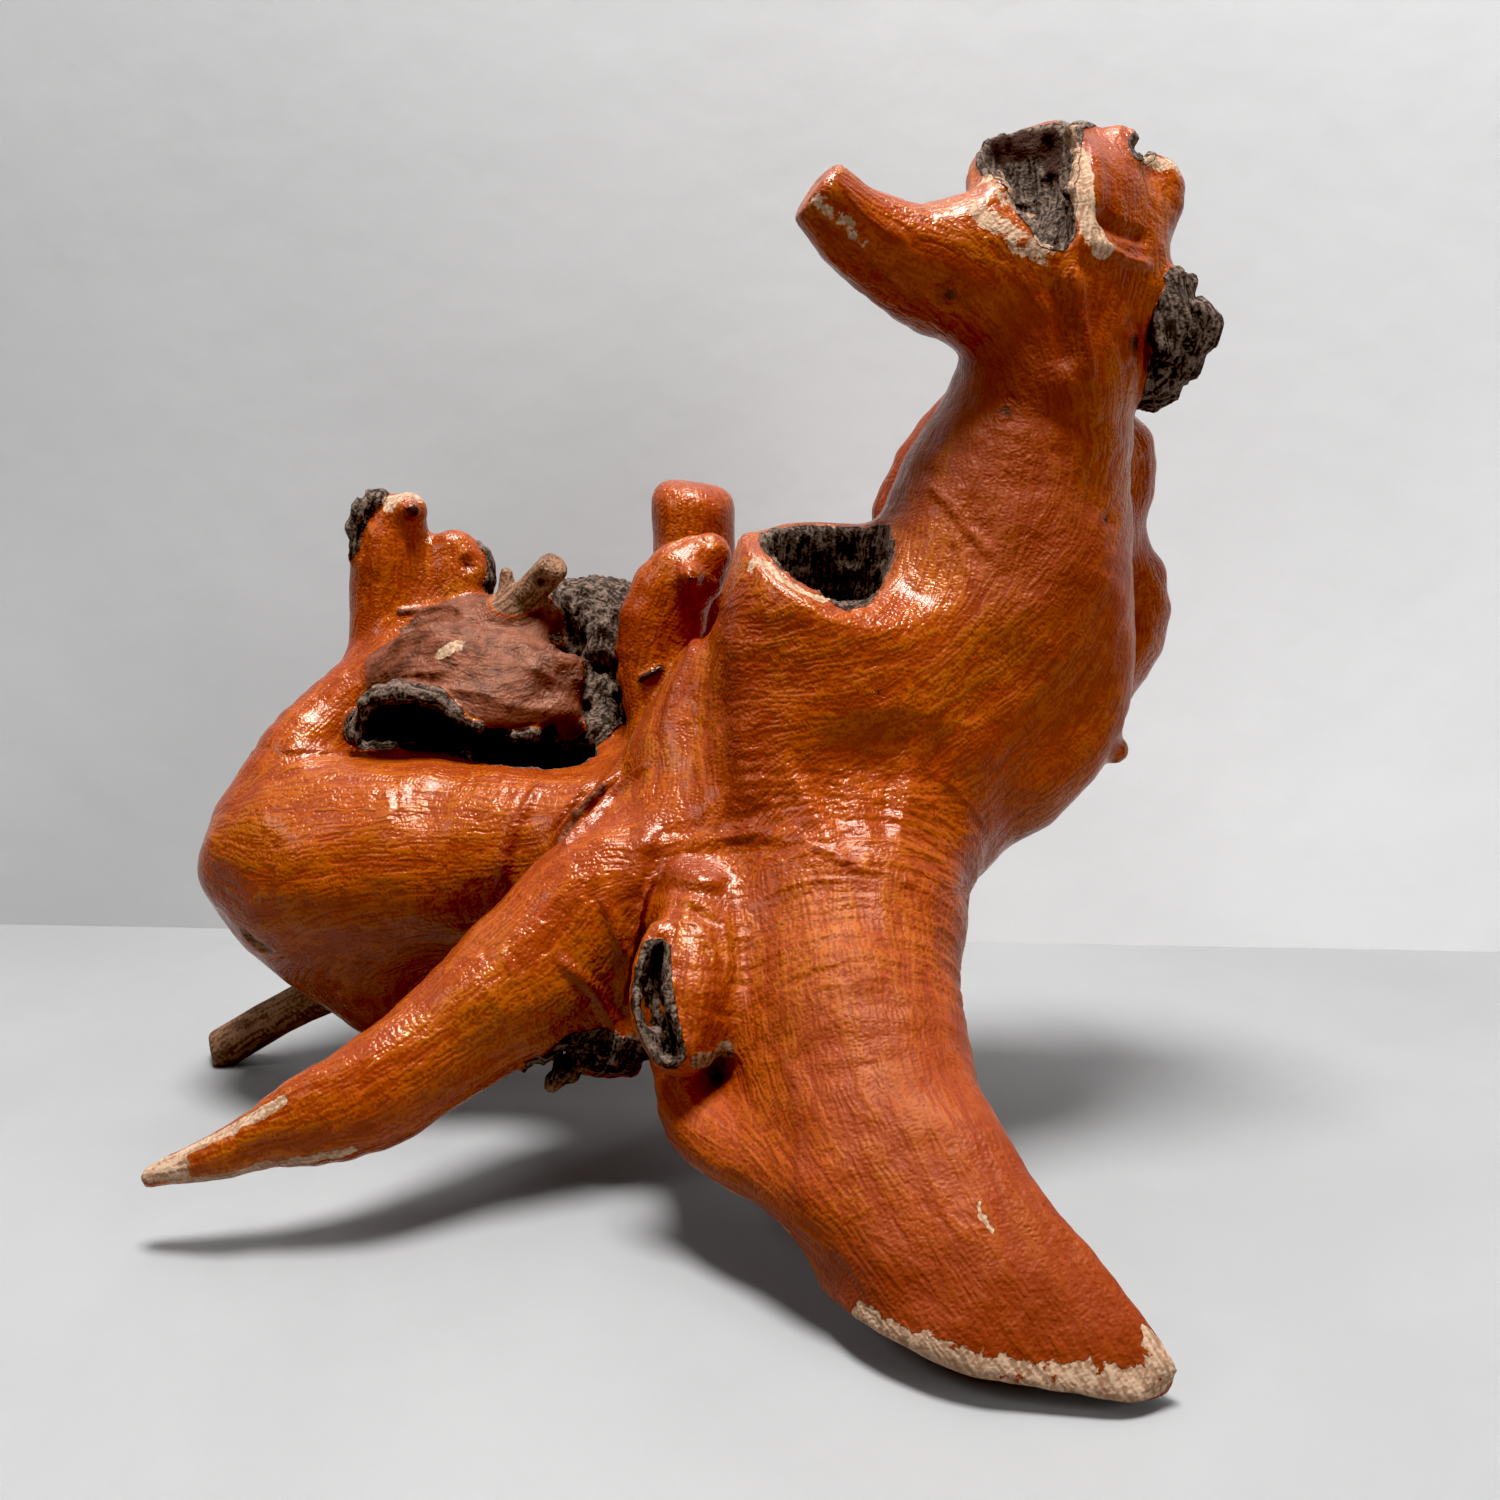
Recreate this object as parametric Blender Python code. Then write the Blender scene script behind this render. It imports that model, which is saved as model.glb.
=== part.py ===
"""A dried, lacquered tree root that stands on three sawn feet, as one solid.

The root grew as one piece, so it is one object. Its limbs are routes with an oval section, blended where
they meet, and its rotted hollows are routes taken out of them. Tables are in centimetres, X to the right,
Y away from the viewer and Z up, with the bench that the feet were sawn level on at Z = 0.
"""

import bpy
import numpy as np
import openvdb

# Driving dimensions, in metres
ROOT_HEIGHT = 0.415
TABLE_HEIGHT = 0.415  # the height that the tables below are drawn at
CM = 0.01 * ROOT_HEIGHT / TABLE_HEIGHT

# How finely the surface is found, in centimetres, and how many triangles stay
COARSE_CELL = 1.2
FINE_PER_COARSE = 3
TRIANGLES_KEPT = 10000

# The block that saws the feet level, in metres
BENCH_HALF = 0.4
BENCH_DEPTH = 0.1
SQUARE = ((-1, -1), (1, -1), (1, 1), (-1, 1))

# What is added to the tables' X and Y, in centimetres, so that the root's box is centred on the origin
CENTRING = (3.47, 5.11)

ROUTE_STEP = 0.8  # spacing of the points read from a smooth route
FAR = 1e3

# Each row of a route is X, Y, Z, half width across and half depth along Y, or along the limb's own "flat"
# direction. Blend is how wide the fillet is where a limb meets those above it.
LIMBS = {
    "trunk": dict(
        blend=0.0,
        route=[
            (9.0, -20.6, -2.0, 4.6, 0.9),
            (7.6, -19.9, 0.4, 4.5, 1.3),
            (6.0, -18.2, 2.8, 4.0, 1.9),
            (4.7, -15.2, 4.8, 3.7, 2.6),
            (4.1, -12.0, 6.9, 3.7, 3.2),
            (3.8, -9.0, 9.0, 4.0, 3.7),
            (3.8, -6.4, 11.0, 4.5, 4.1),
            (4.0, -4.4, 13.0, 5.0, 4.4),
            (4.8, -2.8, 15.0, 5.6, 4.7),
            (6.6, -1.4, 17.0, 6.2, 4.9),
            (8.4, -0.6, 19.2, 6.0, 4.9),
            (9.6, -0.2, 21.6, 5.6, 4.8),
            (10.3, 0.2, 23.7, 5.2, 4.5),
            (10.8, 0.6, 25.9, 4.9, 4.2),
            (11.3, 0.8, 27.9, 4.3, 4.0),
            (11.6, 0.8, 29.6, 3.8, 3.7),
            (12.0, 0.4, 31.2, 3.6, 3.6),
            (12.2, 0.4, 32.7, 3.7, 3.5),
            (12.3, 0.6, 34.4, 3.8, 3.5),
            (12.2, 0.8, 36.6, 3.6, 3.4),
            (12.0, 1.0, 37.8, 3.0, 3.0),
        ],
    ),
    "foot_flange": dict(
        blend=1.2,
        route=[
            (4.4, -18.8, 2.2, 1.0, 1.2),
            (2.9, -17.0, 3.1, 1.2, 1.4),
            (0.9, -14.5, 3.7, 1.4, 1.5),
            (-0.9, -12.2, 4.2, 1.4, 1.6),
            (-1.6, -10.0, 5.0, 1.3, 1.8),
            (-1.8, -8.0, 6.6, 1.5, 2.2),
            (-1.4, -6.0, 9.0, 2.0, 2.4),
        ],
    ),
    "flank": dict(
        blend=1.6,
        route=[
            (3.4, -15.4, 4.2, 1.2, 1.6),
            (1.6, -12.4, 5.8, 1.7, 1.8),
            (0.8, -9.6, 7.4, 1.9, 2.2),
            (0.8, -6.8, 9.6, 2.4, 2.6),
            (1.0, -4.6, 11.6, 3.0, 3.0),
        ],
    ),
    "chest_left": dict(
        blend=2.4,
        route=[
            (-1.6, 0.0, 18.6, 2.0, 2.6),
            (-2.2, -1.2, 15.8, 2.6, 2.8),
            (-1.6, -3.4, 12.6, 3.2, 3.0),
        ],
    ),
    "chest_right": dict(
        blend=1.4,
        route=[
            (12.6, 0.2, 23.6, 2.6, 2.8),
            (13.5, -0.2, 20.6, 2.3, 2.8),
            (13.8, -0.7, 18.2, 1.8, 2.4),
            (13.2, -1.4, 16.6, 1.5, 2.0),
            (11.0, -2.4, 15.2, 1.9, 2.2),
        ],
    ),
    "collar": dict(
        blend=2.6,
        route=[
            (2.6, -2.0, 15.0, 4.2, 4.2),
            (2.8, -2.2, 18.6, 4.2, 4.2),
            (3.1, -2.4, 21.2, 4.0, 3.8),
        ],
    ),
    "collar_rim": dict(
        blend=1.1,
        route=[
            (3.0, -2.4, 19.6, 3.9, 3.7),
            (3.2, -2.4, 21.8, 4.0, 3.7),
            (3.3, -2.3, 23.6, 3.8, 3.5),
            (3.3, -2.2, 26.6, 3.5, 3.2),
        ],
    ),
    "pelvis": dict(
        blend=3.0,
        route=[
            (4.0, -1.0, 12.6, 4.6, 4.2),
            (-1.5, 0.6, 12.0, 4.2, 4.4),
            (-5.0, 2.4, 12.0, 3.4, 4.0),
        ],
    ),
    "rear_leg": dict(
        blend=3.0,
        route=[
            (3.0, 2.4, 13.4, 4.0, 3.6),
            (4.4, 4.8, 9.4, 3.1, 2.9),
            (5.0, 6.6, 6.2, 2.4, 2.2),
            (5.4, 7.6, 3.2, 1.9, 1.9),
            (6.6, 8.8, 0.6, 1.9, 2.1),
            (7.4, 9.4, -0.8, 2.0, 2.2),
        ],
    ),
    "rear_leg_knot": dict(
        blend=0.8,
        route=[
            (4.0, 6.4, 7.6, 1.4, 1.4),
            (3.2, 7.8, 7.2, 0.9, 0.9),
        ],
    ),
    "back_ridge": dict(
        blend=1.6,
        route=[
            (11.4, 3.6, 31.4, 1.4, 1.4),
            (10.2, 4.6, 27.2, 1.7, 1.6),
            (8.2, 4.8, 22.6, 2.0, 1.7),
            (5.4, 4.6, 18.0, 2.0, 1.8),
            (4.2, 4.6, 13.0, 2.2, 2.0),
        ],
    ),
    "back_stub": dict(
        blend=0.9,
        route=[
            (1.6, 3.6, 16.4, 1.9, 1.9),
            (0.4, 6.6, 17.4, 1.5, 1.5),
            (-0.4, 9.4, 18.6, 1.3, 1.3),
        ],
    ),
    "back_swelling": dict(
        blend=1.6,
        route=[
            (-13.0, 6.4, 9.4, 2.6, 2.4),
            (-8.4, 7.0, 10.2, 2.4, 2.2),
            (-2.8, 5.4, 11.0, 2.8, 2.4),
        ],
    ),
    "thigh": dict(
        blend=1.4,
        route=[
            (-5.4, -0.6, 11.2, 3.6, 3.4),
            (-8.6, 0.6, 10.9, 3.9, 3.8),
            (-12.0, 1.4, 10.7, 4.3, 4.2),
            (-15.6, 1.8, 10.5, 4.8, 4.4),
            (-19.0, 2.4, 10.4, 4.7, 4.4),
            (-20.3, 2.6, 10.8, 3.7, 3.6),
        ],
    ),
    "shin": dict(
        blend=2.0,
        route=[
            (-18.1, 2.6, 9.6, 4.3, 4.2),
            (-17.0, 3.0, 7.0, 3.8, 3.6),
            (-16.4, 3.4, 4.8, 2.8, 2.8),
            (-15.6, 3.6, 3.0, 1.8, 2.0),
        ],
    ),
    "rear_stub": dict(
        blend=0.5,
        route=[
            (-15.5, 4.4, 5.8, 1.4, 1.4),
            (-20.8, 4.6, 3.1, 0.95, 0.95),
            (-22.8, 4.9, 1.95, 0.95, 0.95),
            (-24.6, 5.0, 0.85, 0.95, 0.95),
            (-27.5, 5.1, -0.7, 0.95, 0.95),
        ],
    ),
    "back_mass": dict(
        blend=2.4,
        route=[
            (-17.0, 6.5, 12.6, 3.2, 3.0),
            (-13.0, 7.4, 14.4, 3.2, 2.6),
            (-9.0, 7.4, 14.6, 3.2, 2.8),
            (-4.0, 5.4, 14.0, 3.6, 3.6),
        ],
    ),
    "arm": dict(
        blend=0.9,
        route=[
            (-20.0, 3.0, 12.6, 3.0, 2.8),
            (-19.9, 3.8, 14.8, 2.2, 2.4),
            (-19.1, 4.6, 16.1, 1.9, 2.1),
            (-18.1, 5.4, 17.2, 1.6, 1.9),
            (-16.8, 5.8, 18.0, 1.3, 1.6),
        ],
    ),
    "stump": dict(
        blend=1.2,
        route=[
            (-16.4, 6.4, 14.6, 2.6, 2.6),
            (-16.3, 6.8, 17.8, 2.3, 2.3),
            (-16.5, 7.4, 19.8, 2.1, 2.1),
            (-16.5, 7.8, 22.0, 2.0, 1.9),
            (-16.5, 8.0, 24.1, 1.7, 1.7),
            (-16.2, 8.0, 25.5, 1.0, 1.0),
        ],
    ),
    "stump_knob": dict(
        blend=0.5,
        route=[
            (-16.0, 7.6, 25.2, 0.9, 0.9),
            (-15.6, 7.2, 25.7, 0.85, 0.85),
        ],
    ),
    "stump_face": dict(
        blend=0.3,
        flat=(0.75, -0.6, 0.0),
        route=[
            (-17.9, 7.4, 23.6, 0.9, 0.5),
            (-17.9, 7.4, 24.8, 1.2, 0.5),
            (-17.5, 7.4, 25.8, 0.9, 0.5),
        ],
    ),
    "stump_lobe": dict(
        blend=0.8,
        route=[
            (-15.0, 7.8, 19.8, 1.7, 1.5),
            (-14.2, 7.8, 21.8, 1.8, 1.5),
            (-13.8, 7.8, 23.0, 1.7, 1.4),
            (-14.2, 7.8, 24.1, 1.3, 1.1),
        ],
    ),
    "bridge": dict(
        blend=1.0,
        route=[
            (-15.6, 6.4, 18.8, 1.8, 1.6),
            (-12.4, 6.2, 19.8, 1.9, 1.5),
            (-9.8, 6.2, 20.2, 1.5, 1.5),
        ],
    ),
    "rot_wall": dict(
        blend=0.8,
        route=[
            (-8.4, 7.4, 20.8, 1.6, 1.6),
            (-6.4, 6.6, 20.4, 2.1, 2.0),
            (-6.2, 6.2, 18.0, 2.3, 2.4),
            (-6.8, 5.8, 15.6, 2.5, 2.4),
            (-8.6, 6.2, 13.4, 2.6, 2.6),
        ],
    ),
    "shield": dict(
        blend=0.6,
        flat=(0.0, -0.8, 0.6),
        route=[
            (-16.8, 4.8, 17.8, 1.3, 0.7),
            (-14.2, 3.6, 18.7, 2.0, 0.7),
            (-11.4, 3.0, 18.6, 2.6, 0.7),
            (-9.0, 3.2, 18.4, 2.5, 0.7),
            (-7.8, 3.8, 18.6, 1.8, 0.7),
        ],
    ),
    "twig": dict(
        blend=0.5,
        route=[
            (-12.2, 6.2, 20.0, 1.2, 1.1),
            (-10.2, 5.6, 21.8, 0.75, 0.75),
            (-8.0, 4.4, 24.0, 0.7, 0.7),
        ],
    ),
    "twig_spur": dict(
        blend=0.4,
        route=[
            (-11.0, 6.0, 21.4, 0.5, 0.5),
            (-11.0, 6.0, 22.9, 0.3, 0.3),
        ],
    ),
    "back_branch": dict(
        blend=1.2,
        route=[
            (-1.6, 3.0, 14.6, 2.6, 2.6),
            (-2.4, 5.0, 18.2, 2.2, 2.2),
            (-2.6, 6.2, 21.4, 1.9, 2.0),
            (-2.6, 7.0, 24.6, 1.8, 1.9),
            (-2.5, 7.6, 30.0, 1.55, 1.7),
        ],
    ),
    "ear": dict(
        blend=0.6,
        route=[
            (-1.8, 3.6, 23.8, 0.9, 0.9),
            (-2.9, 3.2, 22.8, 1.6, 1.2),
            (-3.8, 2.8, 21.0, 1.9, 1.4),
            (-4.2, 2.4, 18.8, 1.4, 1.3),
            (-4.4, 1.8, 16.6, 0.9, 1.1),
        ],
    ),
    "left_leg": dict(
        blend=1.2,
        route=[
            (-3.6, -3.6, 12.0, 3.0, 2.8),
            (-5.8, -5.2, 10.4, 3.2, 2.8),
            (-8.0, -6.6, 8.4, 3.0, 2.6),
            (-10.2, -8.2, 7.2, 2.5, 2.2),
            (-12.3, -9.8, 6.0, 2.2, 1.8),
            (-13.9, -10.9, 5.2, 2.0, 1.4),
            (-15.7, -11.6, 4.6, 1.65, 1.1),
            (-17.5, -12.0, 4.0, 1.2, 0.9),
            (-19.5, -12.2, 3.3, 0.75, 0.7),
            (-21.3, -12.2, 2.7, 0.4, 0.4),
        ],
    ),
    "hip": dict(
        blend=1.2,
        route=[
            (-4.4, -5.0, 9.2, 2.6, 2.4),
            (-5.0, -6.0, 7.0, 2.0, 1.8),
            (-5.4, -6.6, 5.4, 1.4, 1.2),
        ],
    ),
    "claw_left": dict(
        blend=0.4,
        route=[
            (-5.6, -6.4, 6.4, 1.0, 0.8),
            (-6.8, -7.2, 5.0, 0.7, 0.5),
            (-7.9, -7.6, 4.0, 0.35, 0.3),
        ],
    ),
    "claw_right": dict(
        blend=0.4,
        route=[
            (-4.4, -6.6, 6.6, 0.9, 0.8),
            (-4.9, -7.4, 5.2, 0.8, 0.7),
            (-5.4, -7.6, 4.2, 0.5, 0.5),
        ],
    ),
    "centre_stub": dict(
        blend=1.0,
        route=[
            (-1.0, -4.6, 13.0, 1.8, 1.8),
            (-1.8, -7.4, 11.4, 1.6, 1.6),
            (-2.2, -10.0, 9.8, 1.5, 1.5),
            (-2.1, -11.8, 8.5, 1.45, 1.4),
            (-2.2, -12.6, 7.6, 1.1, 1.1),
        ],
    ),
    "neck_flange": dict(
        blend=0.5,
        route=[
            (9.4, 3.2, 30.2, 1.0, 1.2),
            (8.0, 4.0, 28.4, 1.2, 1.3),
            (7.0, 4.2, 26.6, 1.3, 1.3),
            (6.7, 4.0, 24.8, 1.3, 1.3),
            (7.6, 3.6, 22.8, 1.4, 1.4),
        ],
    ),
    "back_lobe_upper": dict(
        blend=1.0,
        route=[
            (13.8, 3.0, 29.6, 1.7, 1.8),
            (15.3, 3.6, 28.2, 1.8, 2.0),
            (15.5, 3.8, 26.6, 1.9, 2.0),
            (14.8, 3.2, 24.8, 1.8, 2.0),
        ],
    ),
    "back_lobe_lower": dict(
        blend=1.0,
        route=[
            (14.6, 3.4, 24.6, 1.8, 2.0),
            (16.1, 3.9, 22.6, 2.2, 2.2),
            (16.1, 3.9, 20.4, 2.2, 2.2),
            (14.6, 3.2, 18.0, 2.0, 2.2),
        ],
    ),
    "knob": dict(
        blend=0.5,
        route=[
            (14.2, -1.0, 16.6, 0.9, 0.9),
            (15.1, -1.0, 16.1, 0.55, 0.55),
        ],
    ),
    "horn": dict(
        blend=1.2,
        route=[
            (11.4, 0.0, 34.8, 2.8, 2.8),
            (8.9, -0.6, 35.0, 2.75, 2.6),
            (7.0, -1.0, 35.3, 2.3, 2.2),
            (5.3, -1.4, 35.9, 1.85, 1.85),
            (3.9, -1.8, 36.7, 1.6, 1.6),
            (2.9, -2.2, 37.5, 1.5, 1.5),
            (1.1, -2.8, 39.2, 1.45, 1.45),
        ],
    ),
    "crown": dict(
        blend=0.5,
        route=[
            (9.9, -0.6, 37.4, 1.2, 1.2),
            (9.6, 0.9, 38.8, 1.0, 1.0),
            (9.9, 2.2, 39.9, 0.75, 0.8),
            (11.0, 3.0, 40.5, 0.65, 0.7),
            (12.3, 3.0, 40.9, 0.6, 0.7),
            (13.2, 1.9, 40.6, 0.6, 0.8),
        ],
    ),
    "brow": dict(
        blend=0.5,
        route=[
            (13.1, 1.2, 40.3, 0.6, 0.8),
            (12.9, -1.0, 38.8, 0.5, 0.7),
            (12.8, -2.2, 37.4, 0.5, 0.7),
            (12.7, -2.4, 35.8, 0.6, 0.7),
        ],
    ),
    "crest": dict(
        blend=0.8,
        route=[
            (14.2, 0.2, 36.0, 1.7, 2.0),
            (14.4, 0.5, 38.0, 1.3, 1.6),
            (14.2, 0.8, 39.6, 0.95, 1.2),
            (14.3, 1.0, 40.3, 0.7, 0.8),
        ],
    ),
    "crest_lobe": dict(
        blend=0.8,
        route=[
            (15.0, 0.3, 34.6, 1.8, 2.0),
            (15.4, 0.5, 36.6, 1.5, 1.6),
            (16.2, 0.8, 37.9, 1.3, 1.2),
            (16.3, 0.9, 38.8, 1.0, 0.9),
            (15.6, 0.9, 39.1, 0.8, 0.8),
        ],
    ),
    "dark_knot": dict(
        blend=0.6,
        route=[
            (15.6, 0.2, 34.2, 1.1, 1.3),
            (16.8, 0.8, 34.3, 1.0, 1.2),
            (17.6, 1.0, 33.5, 1.0, 1.2),
            (17.3, 1.0, 32.2, 1.3, 1.3),
            (16.9, 1.0, 31.1, 1.0, 1.1),
            (15.8, 0.6, 30.9, 0.9, 1.0),
        ],
    ),
    "knot_plate": dict(
        blend=0.3,
        flat=(-0.2, 0.97, 0.1),
        route=[
            (16.2, -1.0, 34.2, 0.8, 0.45),
            (16.2, -1.2, 32.4, 0.9, 0.45),
        ],
    ),
    "fold_outer": dict(
        blend=0.35,
        route=[
            (-5.0, -1.6, 15.4, 0.5, 0.5),
            (-6.2, -2.9, 14.2, 0.45, 0.5),
            (-7.4, -3.4, 12.8, 0.4, 0.5),
        ],
    ),
    "fold_middle": dict(
        blend=0.35,
        route=[
            (-4.4, -2.4, 14.8, 0.5, 0.5),
            (-5.4, -3.6, 13.4, 0.45, 0.5),
            (-6.6, -4.3, 12.0, 0.4, 0.5),
        ],
    ),
}

SAWN_EDGE = 0.3
# Saw cuts: every limb named loses what lies past the plane through the point, on the side of the normal
SAW_CUTS = {
    "trunk": dict(point=(10.5, -20.0, 0.0), normal=(-0.16, 0.0, -1.0)),
    "rear_stub": dict(point=(-25.5, 5.0, 0.9), normal=(-0.9, -0.35, -0.1)),
    "back_branch": dict(point=(-2.5, 7.4, 26.6), normal=(0.1, -0.25, 1.0)),
    "back_stub": dict(point=(-0.2, 8.4, 18.2), normal=(-0.2, 1.0, 0.3)),
    "horn": dict(point=(2.3, -2.3, 37.9), normal=(-0.75, -0.15, 0.64)),
    "twig": dict(point=(-8.6, 4.6, 23.4), normal=(0.6, -0.5, 0.6)),
    "collar_rim": dict(point=(2.6, -2.0, 24.3), normal=(0.05, -0.42, 1.0)),
}

# Hollows, with the same columns as a limb
HOLLOWS = {
    "collar_hollow": dict(
        blend=0.4,
        route=[
            (3.1, -2.8, 26.8, 2.6, 2.7),
            (3.0, -2.3, 23.8, 2.4, 2.6),
            (3.1, -1.6, 20.6, 1.9, 1.9),
            (3.2, -1.0, 18.4, 1.1, 1.1),
        ],
    ),
    "head_hollow": dict(
        blend=0.25,
        route=[
            (10.9, 0.6, 42.0, 1.8, 2.0),
            (11.0, 0.2, 39.6, 1.85, 2.2),
            (11.1, -0.8, 38.0, 1.6, 2.2),
            (11.5, -2.2, 36.2, 0.8, 1.2),
        ],
    ),
    "stub_hollow": dict(
        blend=0.2,
        route=[
            (-3.9, -11.2, 10.6, 0.35, 0.5),
            (-3.4, -12.6, 9.2, 0.6, 0.7),
            (-2.7, -13.6, 7.8, 0.6, 0.7),
        ],
    ),
    "cavity": dict(
        blend=0.3,
        route=[
            (-17.2, 1.6, 15.6, 0.9, 1.6),
            (-14.8, 1.4, 16.3, 1.4, 3.0),
            (-11.0, 1.2, 15.7, 1.2, 3.4),
            (-7.4, 1.2, 15.3, 1.2, 2.8),
        ],
    ),
}

# Where the wood has rotted to a rough, dark crumb: centre, radius and depth of the relief
ROTTED = [
    ((-6.6, 6.2, 18.0), 4.6, 0.42),
    ((-11.0, 5.4, 15.4), 4.0, 0.30),
    ((17.4, 0.9, 32.6), 2.8, 0.35),
    ((-5.8, -7.2, 5.2), 2.4, 0.30),
    ((3.0, -1.8, 21.0), 2.7, 0.15),
    ((11.0, -1.4, 38.0), 2.0, 0.12),
    ((-18.0, 7.4, 24.8), 1.4, 0.20),
]
CRUMB_SIZE = 1.1


def smooth_route(points, step):
    """Points a step apart on the curve through the given ones, each column eased as the places are."""
    given = np.array(points, float)
    ends = np.vstack([2 * given[0] - given[1], given, 2 * given[-1] - given[-2]])
    out = []
    for before, start, finish, after in zip(ends, ends[1:], ends[2:], ends[3:]):
        count = max(2, int(np.linalg.norm(finish[:3] - start[:3]) / step))
        t = np.linspace(0, 1, count, endpoint=False)[:, None]
        out.append(
            0.5
            * (
                2 * start
                + (finish - before) * t
                + (2 * before - 5 * start + 4 * finish - after) * t**2
                + (3 * start - before - 3 * finish + after) * t**3
            )
        )
    return np.vstack([*out, given[-1:]])


def route_distance(places, route, flat=(0.0, 1.0, 0.0)):
    """Distance from each place to the surface of an oval tube along the route, negative inside."""
    stations = smooth_route(route, ROUTE_STEP)
    nearest = np.full(len(places), FAR)
    for start, finish in zip(stations, stations[1:]):
        along = finish[:3] - start[:3]
        length = np.linalg.norm(along)
        tangent = along / length
        thin = np.array(flat) - tangent * np.dot(flat, tangent)
        thin /= np.linalg.norm(thin)
        share = np.clip((places - start[:3]) @ along / length**2, 0, 1)
        off = places - start[:3] - share[:, None] * along
        wide = start[3] + share * (finish[3] - start[3])
        deep = start[4] + share * (finish[4] - start[4])
        squeeze = wide / deep
        across = off @ thin
        once = np.sqrt((off**2).sum(1) + (squeeze**2 - 1) * across**2)
        twice = np.sqrt((off**2).sum(1) + (squeeze**4 - 1) * across**2)
        nearest = np.minimum(nearest, (once - wide) * once / np.maximum(twice, 1e-6))
    return nearest


def blended(a, b, width):
    """The union of two distances, with a fillet about this wide where they meet."""
    if width <= 0:
        return np.minimum(a, b)
    share = np.clip(0.5 + 0.5 * (b - a) / width, 0, 1)
    return b + (a - b) * share - width * share * (1 - share)


def taken_out(a, b, width):
    """Distance a with shape b taken out of it, its rim rounded over about this width."""
    return -blended(-a, b, width)


def crumb(places, size):
    """Smooth lattice noise from -1 to 1, the same for the same place."""
    scaled = places / size
    cell = np.floor(scaled).astype(np.int64)
    part = scaled - cell
    part = part * part * (3 - 2 * part)
    total = np.zeros(len(places))
    for corner in np.ndindex(2, 2, 2):
        at = cell + corner
        mixed = at[:, 0] * 73856093 ^ at[:, 1] * 19349663 ^ at[:, 2] * 83492791
        mixed = (mixed ^ (mixed >> 13)) * 1274126177
        value = ((mixed ^ (mixed >> 16)) & 0xFFFF) / 32767.5 - 1
        total += value * np.prod(np.where(corner, part, 1 - part), axis=1)
    return total


def root_distance(places):
    """Distance from each place to the surface of the whole root, in centimetres."""
    whole = np.full(len(places), FAR)
    for name, limb in LIMBS.items():
        stations = np.array(limb["route"])
        reach = stations[:, 3:].max() + limb["blend"] + 2 * COARSE_CELL
        near = ((places > stations[:, :3].min(0) - reach) & (places < stations[:, :3].max(0) + reach)).all(1)
        distance = route_distance(places[near], limb["route"], limb.get("flat", (0.0, 1.0, 0.0)))
        if name in SAW_CUTS:
            normal = np.array(SAW_CUTS[name]["normal"])
            normal /= np.linalg.norm(normal)
            past = (places[near] - SAW_CUTS[name]["point"]) @ normal
            distance = taken_out(distance, -past, SAWN_EDGE)
        whole[near] = blended(whole[near], distance, limb["blend"])
    for hollow in HOLLOWS.values():
        stations = np.array(hollow["route"])
        reach = stations[:, 3:].max() + 2 * COARSE_CELL
        near = ((places > stations[:, :3].min(0) - reach) & (places < stations[:, :3].max(0) + reach)).all(1)
        distance = route_distance(places[near], hollow["route"])
        whole[near] = taken_out(whole[near], distance, hollow["blend"])
    for centre, radius, relief in ROTTED:
        away = np.linalg.norm(places - centre, axis=1)
        near = away < radius
        fade = 1 - (away[near] / radius) ** 2
        rough = crumb(places[near], CRUMB_SIZE) + 0.5 * crumb(places[near], CRUMB_SIZE / 2)
        whole[near] += relief * np.minimum(1, 2 * fade) * rough
    return whole


def grid_places(low, counts, cell):
    """The centres of a box of cells, as rows."""
    axes = [low[k] + cell * np.arange(counts[k]) for k in range(3)]
    return np.stack(np.meshgrid(*axes, indexing="ij"), -1).reshape(-1, 3)


def root_surface():
    """Points in metres and quads of the surface, worked out finely only in the cells that it passes."""
    stations = np.vstack([limb["route"] for limb in LIMBS.values()])
    low = stations[:, :3].min(0) - 7
    counts = np.ceil((stations[:, :3].max(0) + 7 - low) / COARSE_CELL).astype(int)
    coarse = root_distance(grid_places(low + COARSE_CELL / 2, counts, COARSE_CELL)).reshape(counts)
    fine = COARSE_CELL / FINE_PER_COARSE
    block = np.repeat(np.repeat(np.repeat(coarse, FINE_PER_COARSE, 0), FINE_PER_COARSE, 1), FINE_PER_COARSE, 2)
    passed = np.argwhere(np.abs(coarse) < 1.6 * COARSE_CELL)
    inner = np.array(list(np.ndindex(*[FINE_PER_COARSE] * 3)))
    wanted = (passed[:, None] * FINE_PER_COARSE + inner).reshape(-1, 3)
    block[tuple(wanted.T)] = root_distance(low + fine * (wanted + 0.5))
    grid = openvdb.FloatGrid()
    grid.background = float(COARSE_CELL)
    grid.copyFromArray(np.clip(block, -COARSE_CELL, COARSE_CELL).astype(np.float32))
    points, quads = grid.convertToQuads(isovalue=0.0)
    return (low + fine * (points + 0.5) + [*CENTRING, 0]) * CM, quads


def lacquered_wood():
    """The root's one material."""
    material = bpy.data.materials.new("lacquered_root")
    material.use_nodes = True
    shader = material.node_tree.nodes["Principled BSDF"]
    shader.inputs["Base Color"].default_value = (0.42, 0.12, 0.025, 1)
    shader.inputs["Roughness"].default_value = 0.32
    return material


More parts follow.
